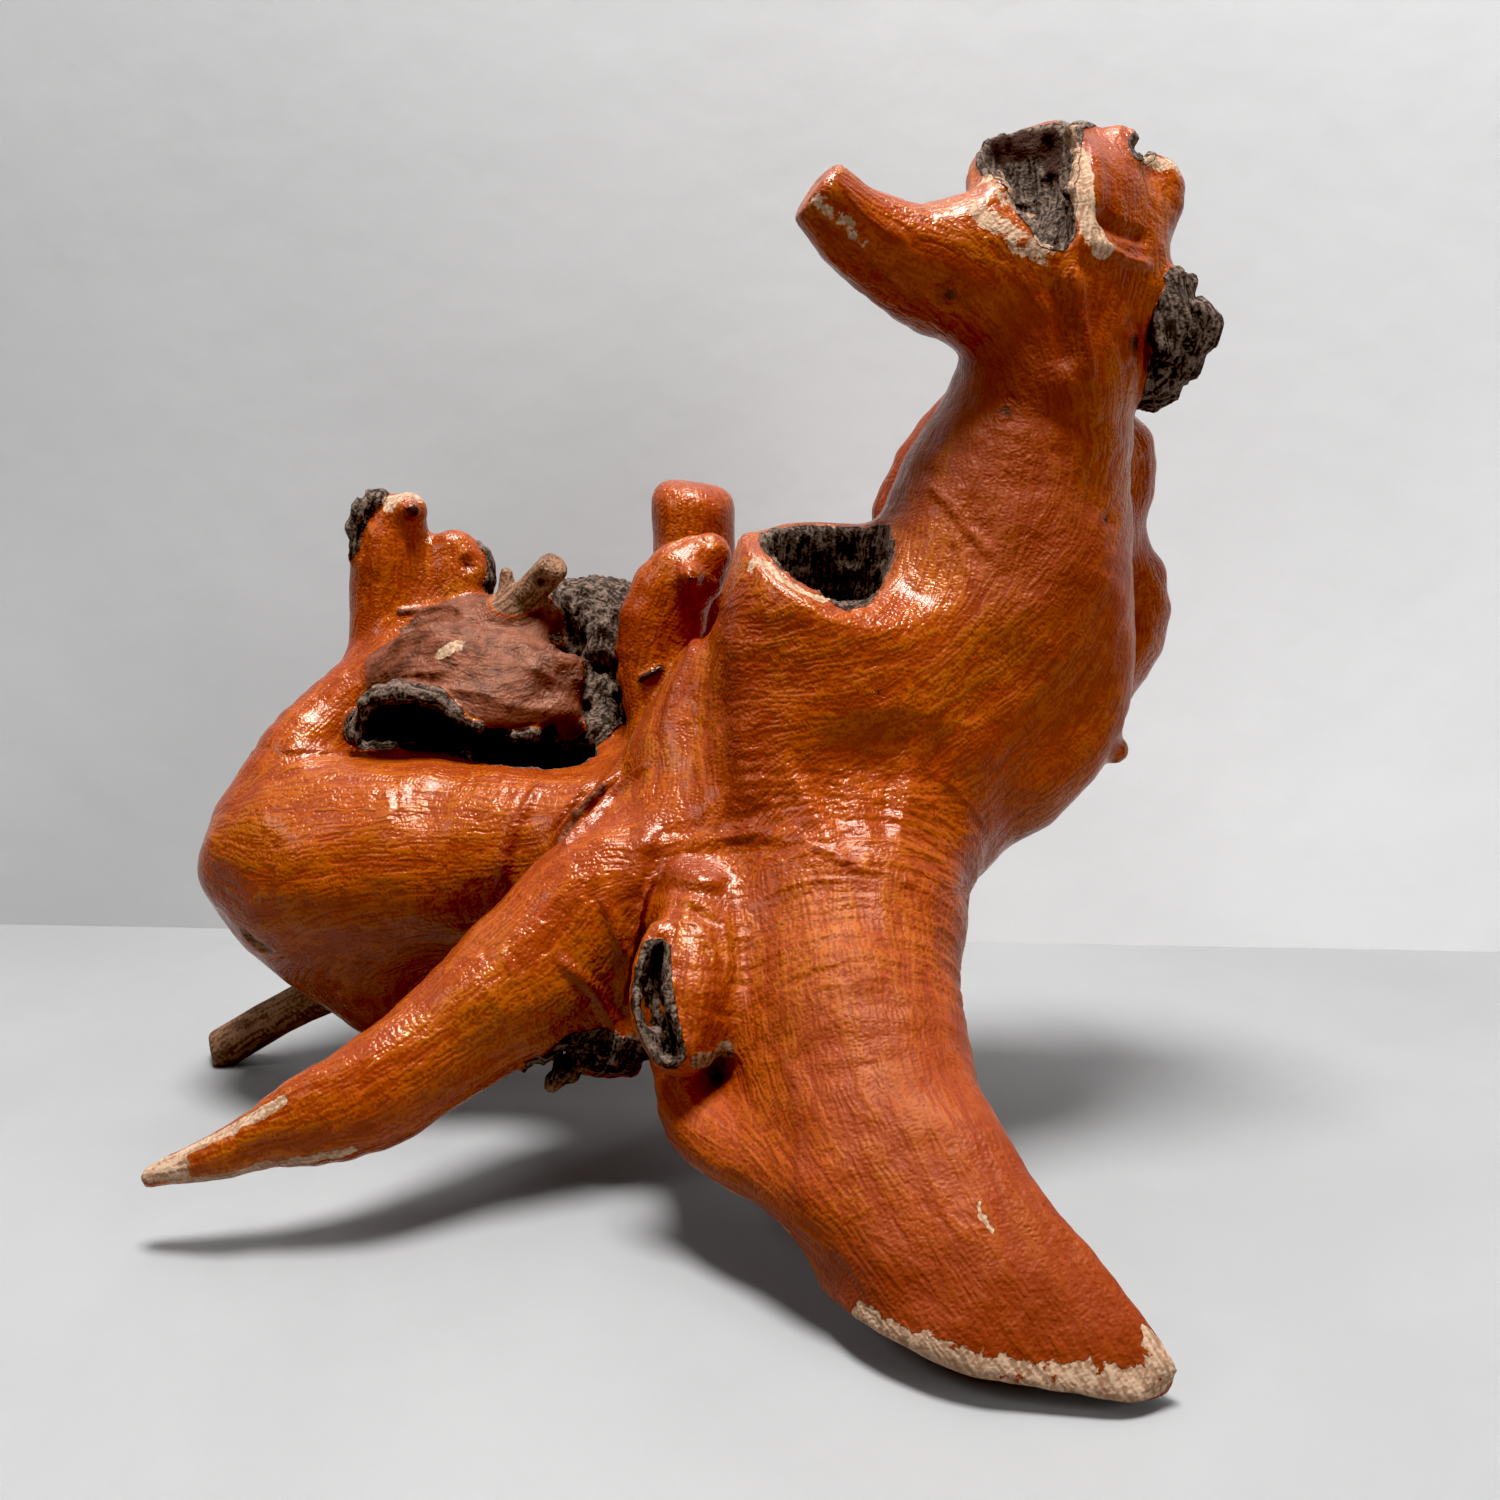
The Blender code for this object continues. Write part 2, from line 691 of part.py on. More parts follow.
def make_root():
    """The root as one object, standing on Z = 0 with its box centred on the origin."""
    points, quads = root_surface()
    mesh = bpy.data.meshes.new("root")
    mesh.from_pydata(points.tolist(), [], quads[:, ::-1].tolist())
    mesh.materials.append(lacquered_wood())
    mesh.polygons.foreach_set("use_smooth", [True] * len(mesh.polygons))
    root = bpy.data.objects.new("dry_root", mesh)
    bpy.context.scene.collection.objects.link(root)
    fewer = root.modifiers.new("fewer_triangles", "DECIMATE")
    fewer.ratio = TRIANGLES_KEPT / (2 * len(quads))
    level = root.modifiers.new("level_feet", "BOOLEAN")
    level.operation = "DIFFERENCE"
    level.object = sawing_bench()
    return root


def sawing_bench():
    """A hidden block under the root, whose top is the level that the feet are sawn at."""
    mesh = bpy.data.meshes.new("sawing_bench")
    corners = [(x * BENCH_HALF, y * BENCH_HALF, z) for z in (-BENCH_DEPTH, 0) for x, y in SQUARE]
    sides = [(k, (k + 1) % 4, 4 + (k + 1) % 4, 4 + k) for k in range(4)]
    mesh.from_pydata(corners, [], [(3, 2, 1, 0), (4, 5, 6, 7), *sides])
    bench = bpy.data.objects.new("sawing_bench", mesh)
    bpy.context.scene.collection.objects.link(bench)
    bench.hide_render = True
    bench.display_type = "WIRE"
    return bench


def main():
    for obj in list(bpy.data.objects):
        bpy.data.objects.remove(obj)
    make_root()


main()
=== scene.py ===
# The dry root's looks. The root grew as one piece, so it is one mesh: a distance surface drawn from oval
# limbs, saw cuts and hollows, with folds, wrinkles, knots and rot raised in it, under one lacquered wood.
import math
import time
from concurrent.futures import ThreadPoolExecutor

import bpy
import numpy as np
import openvdb
from mathutils import Matrix, Vector
from mathutils.bvhtree import BVHTree


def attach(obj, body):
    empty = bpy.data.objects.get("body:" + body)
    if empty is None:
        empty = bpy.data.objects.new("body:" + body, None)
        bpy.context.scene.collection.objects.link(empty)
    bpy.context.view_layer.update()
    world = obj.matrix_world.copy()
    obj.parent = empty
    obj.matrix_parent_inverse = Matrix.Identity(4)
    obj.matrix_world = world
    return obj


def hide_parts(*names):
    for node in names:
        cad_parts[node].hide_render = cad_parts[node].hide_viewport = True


started = time.time()
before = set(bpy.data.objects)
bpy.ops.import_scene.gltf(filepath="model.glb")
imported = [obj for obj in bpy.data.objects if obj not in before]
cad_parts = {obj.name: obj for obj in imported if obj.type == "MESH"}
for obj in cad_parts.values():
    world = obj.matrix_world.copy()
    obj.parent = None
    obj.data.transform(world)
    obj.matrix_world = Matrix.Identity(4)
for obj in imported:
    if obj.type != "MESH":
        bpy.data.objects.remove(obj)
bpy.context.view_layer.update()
scene = bpy.context.scene
print("frame loaded", round(time.time() - started, 1))

# Camera: a phone's wide lens at arm's length, tipped down a little
viewpoint = {
    "place": (0.0347, -0.5689, 0.275),  # metres
    "tip": 10.57,  # degrees below level
    "lens": 36.0,
    "sensor": 36.0,
    "picture": 1500,  # pixels each way
}

# The tables below are in centimetres, in the root's own drawing frame
drawing = {
    "centring": (3.47, 5.11, 0.0),  # added to reach the frame that the CAD node stands in
    "unit": 0.01,  # metres to a centimetre
}


def makeCamera():
    data = bpy.data.cameras.new("camera")
    data.lens = viewpoint["lens"]
    data.sensor_width = viewpoint["sensor"]
    camera = bpy.data.objects.new("camera", data)
    camera.location = viewpoint["place"]
    camera.rotation_euler = (math.pi / 2 - math.radians(viewpoint["tip"]), 0, 0)
    scene.collection.objects.link(camera)
    scene.camera = camera


makeCamera()
print("camera placed")

# How finely the surface is found, in centimetres
surfaceGrid = {
    "coarseCell": 1.35,
    "split": 3,  # each level splits a cell this many ways, twice over
    "margin": 7.0,  # room kept round the limbs
    "near": 1.45,  # cells nearer the surface than this many cells are split
    "routeStep": 0.8,
    "trianglesKept": 192000,
}

# Each row of a route is X, Y, Z, half width across and half depth along Y, or along the limb's own "flat"
# direction. Blend is how wide the fillet is where a limb meets those above it. Rough is how uneven a limb's
# own skin is, and how large its bumps are.
limbs = {
    "trunk": dict(blend=0.0, route=[
        (9.2, -21.5, -1.6, 4.6, 0.9), (7.7, -20.3, 0.5, 4.5, 1.3), (6, -18.2, 2.8, 4, 1.9),
        (4.7, -15.2, 4.8, 3.7, 2.6), (4.1, -12, 6.9, 3.7, 3.2), (3.8, -9, 9, 4, 3.7),
        (3.8, -6.4, 11, 4.5, 4.1), (4, -4.4, 13, 5, 4.4), (4.8, -2.8, 15, 5.6, 4.7),
        (6.6, -1.4, 17, 6.2, 4.9), (8.4, -0.6, 19.2, 6, 4.9), (9.6, -0.2, 21.6, 5.6, 4.8),
        (10.3, 0.2, 23.7, 5.2, 4.5), (10.8, 0.6, 25.9, 4.9, 4.2), (11.3, 0.8, 27.9, 4.3, 4),
        (11.6, 0.8, 29.6, 3.8, 3.7), (12, 0.4, 31.2, 3.6, 3.6), (12.2, 0.4, 32.7, 3.7, 3.5),
        (12.3, 0.6, 34.4, 3.8, 3.5), (12.2, 0.8, 36.6, 3.6, 3.4), (12, 1, 37.8, 3, 3),
    ]),
    "footFlange": dict(blend=1.2, route=[
        (4.6, -18.4, 3, 0.9, 1.1), (3, -16.8, 3.8, 1, 1.2), (0.9, -14.4, 4.1, 1.2, 1.4),
        (-1.2, -12.2, 4.4, 1.3, 1.5), (-2.2, -10, 5, 1.3, 1.8), (-2.3, -8, 6.6, 1.5, 2.2),
        (-1.4, -6, 9, 2, 2.4),
    ]),
    "flank": dict(blend=1.6, route=[
        (3.4, -15.4, 4.2, 1.2, 1.6), (1.6, -12.4, 5.8, 1.7, 1.8), (0.8, -9.6, 7.4, 1.9, 2.2),
        (0.8, -6.8, 9.6, 2.4, 2.6), (1, -4.6, 11.6, 3, 3),
    ]),
    "chestLeft": dict(blend=2.4, route=[
        (-1.6, 0, 18.6, 2, 2.6), (-2.2, -1.2, 15.8, 2.6, 2.8), (-1.6, -3.4, 12.6, 3.2, 3),
    ]),
    "chestRight": dict(blend=1.4, route=[
        (12.6, 0.2, 23.6, 2.6, 2.8), (13.5, -0.2, 20.6, 2.3, 2.8), (13.8, -0.7, 18.2, 1.8, 2.4),
        (13.2, -1.4, 16.6, 1.5, 2), (11, -2.4, 15.2, 1.9, 2.2),
    ]),
    "collar": dict(blend=2.6, route=[
        (2.6, -2, 15, 4.2, 4.2), (2.8, -2.2, 18.6, 4.2, 4.2), (3.1, -2.4, 21.2, 4, 3.8),
    ]),
    "collarRim": dict(blend=1.1, route=[
        (3, -2.4, 19.6, 3.9, 3.7), (3.2, -2.4, 21.8, 4, 3.7), (3.3, -2.3, 23.6, 3.8, 3.5),
        (3.3, -2.2, 26.6, 3.5, 3.2),
    ]),
    "pelvis": dict(blend=3.0, route=[
        (4, -1, 12.6, 4.6, 4.2), (-1.5, 0.6, 12, 4.2, 4.4), (-5, 2.4, 12, 3.4, 4),
    ]),
    "rearLeg": dict(blend=3.0, route=[
        (3, 2.4, 13.4, 4, 3.6), (4.4, 4.8, 9.4, 3.1, 2.9), (5, 6.6, 6.2, 2.4, 2.2),
        (5.4, 7.6, 3.2, 1.9, 1.9), (6.6, 8.8, 0.6, 1.9, 2.1), (7.4, 9.4, -0.8, 2, 2.2),
    ]),
    "rearLegKnot": dict(blend=0.8, route=[
        (4, 6.4, 7.6, 1.4, 1.4), (3.2, 7.8, 7.2, 0.9, 0.9),
    ]),
    "backRidge": dict(blend=1.6, route=[
        (11.4, 3.6, 31.4, 1.4, 1.4), (10.2, 4.6, 27.2, 1.7, 1.6), (8.2, 4.8, 22.6, 2, 1.7),
        (5.4, 4.6, 18, 2, 1.8), (4.2, 4.6, 13, 2.2, 2),
    ]),
    "backStub": dict(blend=0.9, route=[
        (1.6, 3.6, 16.4, 1.9, 1.9), (0.4, 6.6, 17.4, 1.5, 1.5), (-0.4, 9.4, 18.6, 1.3, 1.3),
    ]),
    "backSwelling": dict(blend=1.6, route=[
        (-13, 6.4, 9.4, 2.6, 2.4), (-8.4, 7, 10.2, 2.4, 2.2), (-2.8, 5.4, 11, 2.8, 2.4),
    ]),
    "thigh": dict(blend=1.4, route=[
        (-5.4, -0.6, 11.2, 3.6, 3.4), (-8.6, 0.6, 10.9, 3.9, 3.8), (-12, 1.4, 10.7, 4.3, 4.2),
        (-15.6, 1.8, 10.5, 4.8, 4.4), (-19, 2.4, 10.4, 4.7, 4.4), (-20.3, 2.6, 10.8, 3.7, 3.6),
    ]),
    "shin": dict(blend=2.0, route=[
        (-18.1, 2.6, 9.6, 4.3, 4.2), (-17, 3, 7, 3.8, 3.6), (-16.4, 3.4, 4.8, 2.8, 2.8),
        (-15.6, 3.6, 3, 1.8, 2),
    ]),
    "rearStub": dict(blend=0.5, route=[
        (-15.5, 4.4, 5.8, 1.4, 1.4), (-20.8, 4.6, 3.1, 0.95, 0.95), (-22.8, 4.9, 1.95, 0.95, 0.95),
        (-24.6, 5, 0.85, 0.95, 0.95), (-27.5, 5.1, -0.7, 0.95, 0.95),
    ]),
    "backMass": dict(blend=2.4, route=[
        (-17, 6.5, 12.6, 3.2, 3), (-13, 7.4, 14.4, 3.2, 2.6), (-9, 7.4, 14.6, 3.2, 2.8),
        (-4, 5.4, 14, 3.6, 3.6),
    ]),
    "arm": dict(blend=0.9, route=[
        (-20, 3, 12.6, 3, 2.8), (-19.9, 3.8, 14.8, 2.2, 2.4), (-19.1, 4.6, 16.1, 1.9, 2.1),
        (-18.1, 5.4, 17.2, 1.6, 1.9), (-16.8, 5.8, 18, 1.3, 1.6),
    ]),
    "stump": dict(blend=1.2, route=[
        (-16.4, 6.4, 14.6, 2.6, 2.6), (-16.3, 6.8, 17.8, 2.3, 2.3), (-16.5, 7.4, 19.8, 2.1, 2.1),
        (-16.5, 7.8, 22, 2, 1.9), (-16.5, 8, 24.1, 1.7, 1.7), (-16.2, 8, 25.5, 1, 1),
    ]),
    "stumpKnob": dict(blend=0.5, route=[
        (-16, 7.6, 25.2, 0.9, 0.9), (-15.6, 7.2, 25.7, 0.85, 0.85),
    ]),
    "stumpFace": dict(blend=0.3, flat=(0.75, -0.6, 0.0), rough=(0.12, 0.5), route=[
        (-17.6, 7.4, 23.7, 0.75, 0.5), (-17.6, 7.4, 24.9, 1.0, 0.5), (-17.2, 7.4, 25.8, 0.8, 0.5),
    ]),
    "stumpLobe": dict(blend=0.9, route=[
        (-15, 7.8, 19.8, 1.7, 1.5), (-14, 7.8, 21.6, 1.75, 1.5), (-13.5, 7.8, 22.7, 1.6, 1.4),
        (-13.7, 7.8, 23.5, 1.25, 1.1),
    ]),
    "earNub": dict(blend=0.35, route=[
        (-2.6, 2.8, 23, 0.5, 0.5), (-2.5, 1.5, 23.05, 0.4, 0.4),
    ]),
    "foreheadSlope": dict(blend=0.8, route=[
        (8.2, -1, 36.4, 0.9, 1.2), (9.3, -1, 37.6, 0.7, 1), (10, -0.8, 38.6, 0.5, 0.8),
    ]),
    "bridge": dict(blend=1.0, route=[
        (-15.6, 6.4, 18.8, 1.8, 1.6), (-12.4, 6.2, 19.8, 1.9, 1.5), (-9.8, 6.2, 20.2, 1.5, 1.5),
    ]),
    "rotWall": dict(blend=0.8, route=[
        (-8.4, 7.4, 20.8, 1.6, 1.6), (-6.4, 6.6, 20.4, 2.1, 2), (-6.2, 6, 18, 2.3, 2.4),
        (-6.8, 5.4, 15.8, 2.5, 2.5), (-8.8, 5.4, 14.2, 2.6, 2.6),
    ]),
    "shield": dict(blend=0.6, flat=(0.0, -0.8, 0.6), rough=(0.13, 1.4), route=[
        (-17, 4.8, 17.9, 1.1, 0.6), (-14.4, 3.6, 19.1, 1.7, 0.6), (-11.8, 3, 18.6, 2.4, 0.6),
        (-9.8, 3.2, 18.4, 2.2, 0.6),
    ]),
    "archLip": dict(blend=0.3, rough=(0.14, 0.7), route=[
        (-17.2, 2.8, 16.2, 0.3, 0.7), (-16.4, 2.4, 17.7, 0.32, 0.8), (-15.1, 2.2, 18.1, 0.35, 0.8),
        (-13.4, 2.2, 17.8, 0.35, 0.8), (-12.1, 2.2, 16.9, 0.4, 0.8), (-10.9, 2.2, 16.1, 0.35, 0.8),
        (-9.6, 2.4, 16.3, 0.4, 0.8),
    ]),
    "shieldTongue": dict(blend=0.3, flat=(0.0, -0.9, 0.4), rough=(0.1, 0.6), route=[
        (-9.2, 3.2, 18.6, 0.9, 0.5), (-8.4, 2.9, 17.5, 0.8, 0.45), (-8, 2.8, 16.5, 0.45, 0.35),
    ]),
    "twig": dict(blend=0.5, route=[
        (-12.2, 6.2, 20, 1.2, 1.1), (-10.2, 5.6, 21.8, 0.75, 0.75), (-8, 4.4, 24, 0.7, 0.7),
    ]),
    "twigSpur": dict(blend=0.4, route=[
        (-11, 6, 21.4, 0.5, 0.5), (-11, 6, 22.9, 0.3, 0.3),
    ]),
    "backBranch": dict(blend=1.2, route=[
        (-1.6, 3, 14.6, 2.6, 2.6), (-2.4, 5, 18.2, 2.2, 2.2), (-2.6, 6.2, 21.4, 1.9, 2),
        (-2.6, 7, 24.6, 1.8, 1.9), (-2.5, 7.6, 30, 1.55, 1.7),
    ]),
    "ear": dict(blend=0.6, route=[
        (-1.8, 3.6, 23.8, 0.9, 0.9), (-2.9, 3.2, 22.8, 1.6, 1.2), (-3.8, 2.8, 21, 1.9, 1.4),
        (-4.2, 2.4, 18.8, 1.4, 1.3), (-4.4, 1.8, 16.6, 0.9, 1.1),
    ]),
    "leftLeg": dict(blend=1.2, route=[
        (-3.6, -3.6, 12, 3, 2.8), (-5.8, -5.2, 10.4, 3.2, 2.8), (-8, -6.6, 8.4, 3, 2.6),
        (-10.2, -8.2, 7.2, 2.5, 2.2), (-12.3, -9.8, 6, 2.2, 1.8), (-13.9, -10.9, 5.2, 2, 1.4),
        (-15.7, -11.6, 4.6, 1.65, 1.1), (-17.5, -12, 4, 1.2, 0.9), (-19.5, -12.2, 3.3, 0.75, 0.7),
        (-21.3, -12.2, 2.7, 0.4, 0.4),
    ]),
    "hip": dict(blend=1.2, route=[
        (-4.4, -5, 9.2, 2.6, 2.4), (-5, -6, 7, 2, 1.8), (-5.4, -6.6, 5.4, 1.4, 1.2),
    ]),
    "clawLeft": dict(blend=0.4, rough=(0.06, 0.6), route=[
        (-5.4, -6.6, 6.4, 0.8, 0.8), (-6.7, -7.4, 5.2, 0.55, 0.5), (-7.6, -7.8, 4.3, 0.3, 0.3),
    ]),
    "clawRight": dict(blend=0.4, rough=(0.06, 0.6), route=[
        (-4.2, -6.6, 7, 0.8, 0.8), (-4.6, -7.4, 6, 0.6, 0.6), (-4.9, -7.6, 5.3, 0.35, 0.35),
    ]),
    "centreStub": dict(blend=1.1, route=[
        (-1, -5, 11.4, 1.7, 1.7), (-1.9, -8, 10.9, 1.6, 1.5), (-2.1, -10.3, 9.7, 1.5, 1.4),
        (-2.25, -11.5, 8.3, 1.35, 1.25), (-2.35, -11.9, 7.6, 1.1, 1.05),
    ]),
    "stubBark": dict(blend=0.35, rough=(0.06, 0.5), route=[
        (-3.3, -9.9, 11, 0.4, 0.4), (-4, -10.9, 10, 0.3, 0.4), (-4.05, -11.6, 8.8, 0.28, 0.4),
        (-3.6, -12, 7.6, 0.3, 0.4), (-2.9, -12.1, 6.9, 0.3, 0.4), (-2.2, -11.9, 6.8, 0.3, 0.4),
    ]),
    "neckFlange": dict(rough=(0.07, 1.1), blend=0.5, route=[
        (9.4, 3.2, 30.2, 1, 1.2), (8, 4, 28.4, 1.2, 1.3), (7, 4.2, 26.6, 1.3, 1.3),
        (6.7, 4, 24.8, 1.3, 1.3), (7.6, 3.6, 22.8, 1.4, 1.4),
    ]),
    "backLobeUpper": dict(blend=1.0, route=[
        (13.8, 3, 29.6, 1.7, 1.8), (15.3, 3.6, 28.2, 1.8, 2), (15.5, 3.8, 26.6, 1.9, 2),
        (14.8, 3.2, 24.8, 1.8, 2),
    ]),
    "backLobeLower": dict(blend=1.0, route=[
        (14.6, 3.4, 24.6, 1.8, 2), (16.1, 3.9, 22.6, 2.2, 2.2), (16.1, 3.9, 20.4, 2.2, 2.2),
        (14.6, 3.2, 18, 2, 2.2),
    ]),
    "knob": dict(blend=0.5, route=[
        (14.2, -1, 16.6, 0.9, 0.9), (15.1, -1, 16.1, 0.55, 0.55),
    ]),
    "horn": dict(blend=1.2, route=[
        (11.4, 0, 34.8, 2.8, 2.8), (8.9, -0.6, 35, 2.75, 2.6), (7, -1, 35.3, 2.3, 2.2),
        (5.3, -1.4, 35.9, 1.85, 1.85), (3.9, -1.8, 36.7, 1.6, 1.6), (2.9, -2.2, 37.5, 1.5, 1.5),
        (1.1, -2.8, 39.2, 1.45, 1.45),
    ]),
    "crown": dict(blend=0.5, route=[
        (9.9, -0.6, 37.4, 1.2, 1.2), (9.6, 0.9, 38.8, 1, 1), (9.9, 2.2, 39.9, 0.75, 0.8),
        (11, 3, 40.5, 0.65, 0.7), (12.3, 3, 40.9, 0.6, 0.7), (13.2, 1.9, 40.6, 0.6, 0.8),
    ]),
    "brow": dict(blend=0.5, route=[
        (13.1, 1.2, 40.3, 0.6, 0.8), (12.9, -1, 38.8, 0.5, 0.7), (12.8, -2.2, 37.4, 0.5, 0.7),
        (12.7, -2.4, 35.8, 0.6, 0.7),
    ]),
    "crest": dict(blend=0.8, route=[
        (14.2, 0.2, 36, 1.7, 2), (14.4, 0.4, 38, 1.25, 1.6), (14.5, 0.7, 39.4, 0.95, 1.2),
        (14.6, 0.9, 40.2, 0.75, 0.8),
    ]),
    "crestLobe": dict(blend=0.8, route=[
        (15, 0.3, 34.6, 1.8, 2), (15.4, 0.5, 36.6, 1.5, 1.6), (16.2, 0.8, 37.9, 1.3, 1.2),
        (16.3, 0.9, 38.8, 1, 0.9), (15.6, 0.9, 39.1, 0.8, 0.8),
    ]),
    "darkKnot": dict(blend=0.6, rough=(0.22, 0.8), route=[
        (15.6, 0.2, 34.2, 1.1, 1.3), (16.8, 0.8, 34.3, 0.9, 1.2), (17.6, 1, 33.5, 0.8, 1.2),
        (17.3, 1, 32.2, 1.2, 1.3), (16.9, 1, 31.1, 0.9, 1.1), (15.8, 0.6, 30.9, 0.8, 1),
    ]),
    "knotPlate": dict(blend=0.2, flat=(-0.2, 0.97, 0.1), rough=(0.05, 0.5), route=[
        (16.4, -1, 34.6, 0.6, 0.4), (16.5, -1.2, 33.4, 0.75, 0.4), (16.3, -1.2, 32.2, 0.6, 0.4),
    ]),
    "foldOuter": dict(blend=0.35, route=[
        (-5, -1.6, 15.4, 0.5, 0.5), (-6.2, -2.9, 14.2, 0.45, 0.5), (-7.4, -3.4, 12.8, 0.4, 0.5),
    ]),
    "foldMiddle": dict(blend=0.35, route=[
        (-4.4, -2.4, 14.8, 0.5, 0.5), (-5.4, -3.6, 13.4, 0.45, 0.5), (-6.6, -4.3, 12, 0.4, 0.5),
    ]),
}
hollows = {
    "collarHollow": dict(blend=0.4, route=[
        (3.1, -2.8, 26.8, 2.6, 2.7), (3, -2.3, 23.8, 2.4, 2.6), (3.1, -1.6, 20.6, 1.9, 1.9),
        (3.2, -1, 18.4, 1.1, 1.1),
    ]),
    "headHollow": dict(blend=0.25, route=[
        (10.9, 0.6, 42, 1.8, 2), (11, 0.2, 39.6, 1.85, 2.2), (11.1, -0.8, 38, 1.6, 2.2),
        (11.5, -2.2, 36.2, 0.8, 1.2),
    ]),
    "stubHollow": dict(blend=0.2, rough=(0.06, 0.5), route=[
        (-3.3, -11, 10.8, 0.3, 1.2), (-3.45, -11.8, 9.8, 0.5, 2), (-3.3, -12.4, 8.8, 0.55, 2.2),
        (-2.85, -12.7, 7.7, 0.45, 1.8),
    ]),
    "collarNotch": dict(blend=0.7, flat=(0.0, 0.0, 1.0), route=[
        (3.6, -2.4, 24.4, 1.6, 1.6), (3.9, -4.6, 24.1, 1.5, 1.5), (4.1, -7, 23.9, 1.6, 1.6),
    ]),
    "crestNotch": dict(blend=0.2, route=[
        (15.3, -1.2, 39.7, 0.4, 0.4), (15.45, 0.8, 40.1, 0.45, 0.5), (15.6, 2.4, 40.4, 0.5, 0.6),
    ]),
    "crownDip": dict(blend=0.3, route=[
        (13.0, -0.4, 41.2, 0.4, 0.4), (13.2, 1, 41.4, 0.5, 0.5), (13.4, 3, 41.6, 0.6, 0.6),
    ]),
    "cavity": dict(blend=0.3, rough=(0.12, 0.8), route=[
        (-17, 4.2, 16.3, 0.8, 1.5), (-15, 3.9, 16.7, 1.3, 2.7), (-12.6, 3.8, 16.2, 1.1, 2.7),
        (-10.4, 3, 15.4, 0.85, 1.9), (-8.4, 2.6, 14.9, 0.8, 1.4), (-7.2, 2.6, 14.9, 0.7, 1.2),
    ]),
}
sawCuts = {
    "trunk": [
        dict(point=(10.5, -17.5, 0.0), normal=(-0.16, -0.11, -1.0)),
        dict(point=(12.3, -21.5, 0.0), normal=(0.62, -0.79, -0.3), edge=0.3),
    ],
    "rearStub": [dict(point=(-25.5, 5.0, 0.9), normal=(-0.9, -0.35, -0.1))],
    "backBranch": [dict(point=(-2.5, 7.4, 26.75), normal=(0.14, -0.1, 1.0), edge=0.9)],
    "backStub": [dict(point=(-0.2, 8.4, 18.2), normal=(-0.2, 1.0, 0.3))],
    "horn": [dict(point=(2.25, -2.3, 37.95), normal=(-0.75, -0.15, 0.64), edge=0.55)],
    "twig": [dict(point=(-8.6, 4.6, 23.4), normal=(0.6, -0.5, 0.6))],
    "collar": [dict(point=(3.6, -5.2, 22.1), normal=(0.36, -0.5, 1.0), edge=0.6)],
    "collarRim": [
        dict(point=(3.6, -5.2, 22.3), normal=(0.36, -0.5, 1.0), edge=0.35),
        dict(point=(2.0, 0.8, 25.3), normal=(0.0, -0.14, 1.0)),
    ],
}

# Where the wood has rotted to a rough, dark crumb: centre, radius and depth of the relief
rottedSpots = [
    ((-6.6, 6.2, 18.0), 4.6, 0.55), ((-11.0, 5.4, 15.4), 4.0, 0.30), ((17.4, 0.9, 32.6), 2.8, 0.35),
    ((-5.8, -7.2, 5.2), 2.4, 0.30), ((3.0, -1.8, 21.0), 2.7, 0.15), ((11.0, -1.4, 38.0), 2.0, 0.12),
    ((-18.0, 7.4, 24.8), 1.4, 0.20),
]
crumbSize = 1.1
sawnEdge = 0.3
farAway = 1e3


# Points a step apart on the curve through the given rows: for four rows a, b, c, d in turn, each column is
# half of 2b + (c - a)t + (2a - 5b + 4c - d)t^2 + (3b - a - 3c + d)t^3, with t from 0 to 1 between b and c.
def smoothRoute(points, step=surfaceGrid["routeStep"]):
    given = np.array(points, np.float32)
    ends = np.vstack([2 * given[0] - given[1], given, 2 * given[-1] - given[-2]])
    out = []
    for a, b, c, d in zip(ends, ends[1:], ends[2:], ends[3:]):
        count = max(2, int(np.linalg.norm(c[:3] - b[:3]) / step))
        t = np.linspace(0, 1, count, endpoint=False, dtype=np.float32)[:, None]
        out.append(0.5 * (2 * b + (c - a) * t + (2 * a - 5 * b + 4 * c - d) * t**2 + (3 * b - a - 3 * c + d) * t**3))
    return np.vstack([*out, given[-1:]])


# One straight stretch of a limb: how far along it a place lies, from 0 to 1, and the place's offset from it
def alongStretch(places, start, finish):
    along = finish[:3] - start[:3]
    rel = places - start[:3]
    share = np.clip(rel @ along / (along @ along), 0, 1)
    return share, rel - share[:, None] * along


# Distance to an oval tube: k0 = |p / r| and k1 = |p / r^2| give the oval's distance as k0(k0 - 1) / k1,
# where p is the offset from the tube's line and r its half widths, which change steadily along it.
def tubeDistance(places, route, flat=(0.0, 1.0, 0.0)):
    stations = smoothRoute(route)
    nearest = np.full(len(places), farAway, np.float32)
    for start, finish in zip(stations, stations[1:]):
        share, off = alongStretch(places, start, finish)
        tangent = (finish[:3] - start[:3]) / np.linalg.norm(finish[:3] - start[:3])
        thin = np.array(flat, np.float32) - tangent * np.dot(flat, tangent)
        thin /= np.linalg.norm(thin)
        wide = start[3] + share * (finish[3] - start[3])
        squeeze = wide / (start[4] + share * (finish[4] - start[4]))
        square = np.einsum("ij,ij->i", off, off)
        across = (off @ thin) ** 2
        once = np.sqrt(square + (squeeze**2 - 1) * across)
        twice = np.sqrt(square + (squeeze**4 - 1) * across)
        nearest = np.minimum(nearest, (once - wide) * once / np.maximum(twice, 1e-6))
    return nearest


# Union of two distances with a fillet: b + (a - b)s - ws(1 - s), where s eases from 0 to 1 over the width w
def blended(a, b, width):
    if width <= 0:
        return np.minimum(a, b)
    share = np.clip(0.5 + 0.5 * (b - a) / width, 0, 1)
    return b + (a - b) * share - width * share * (1 - share)


# Distance a with shape b taken out of it, its rim rounded over the width
def takenOut(a, b, width):
    return -blended(-a, b, width)


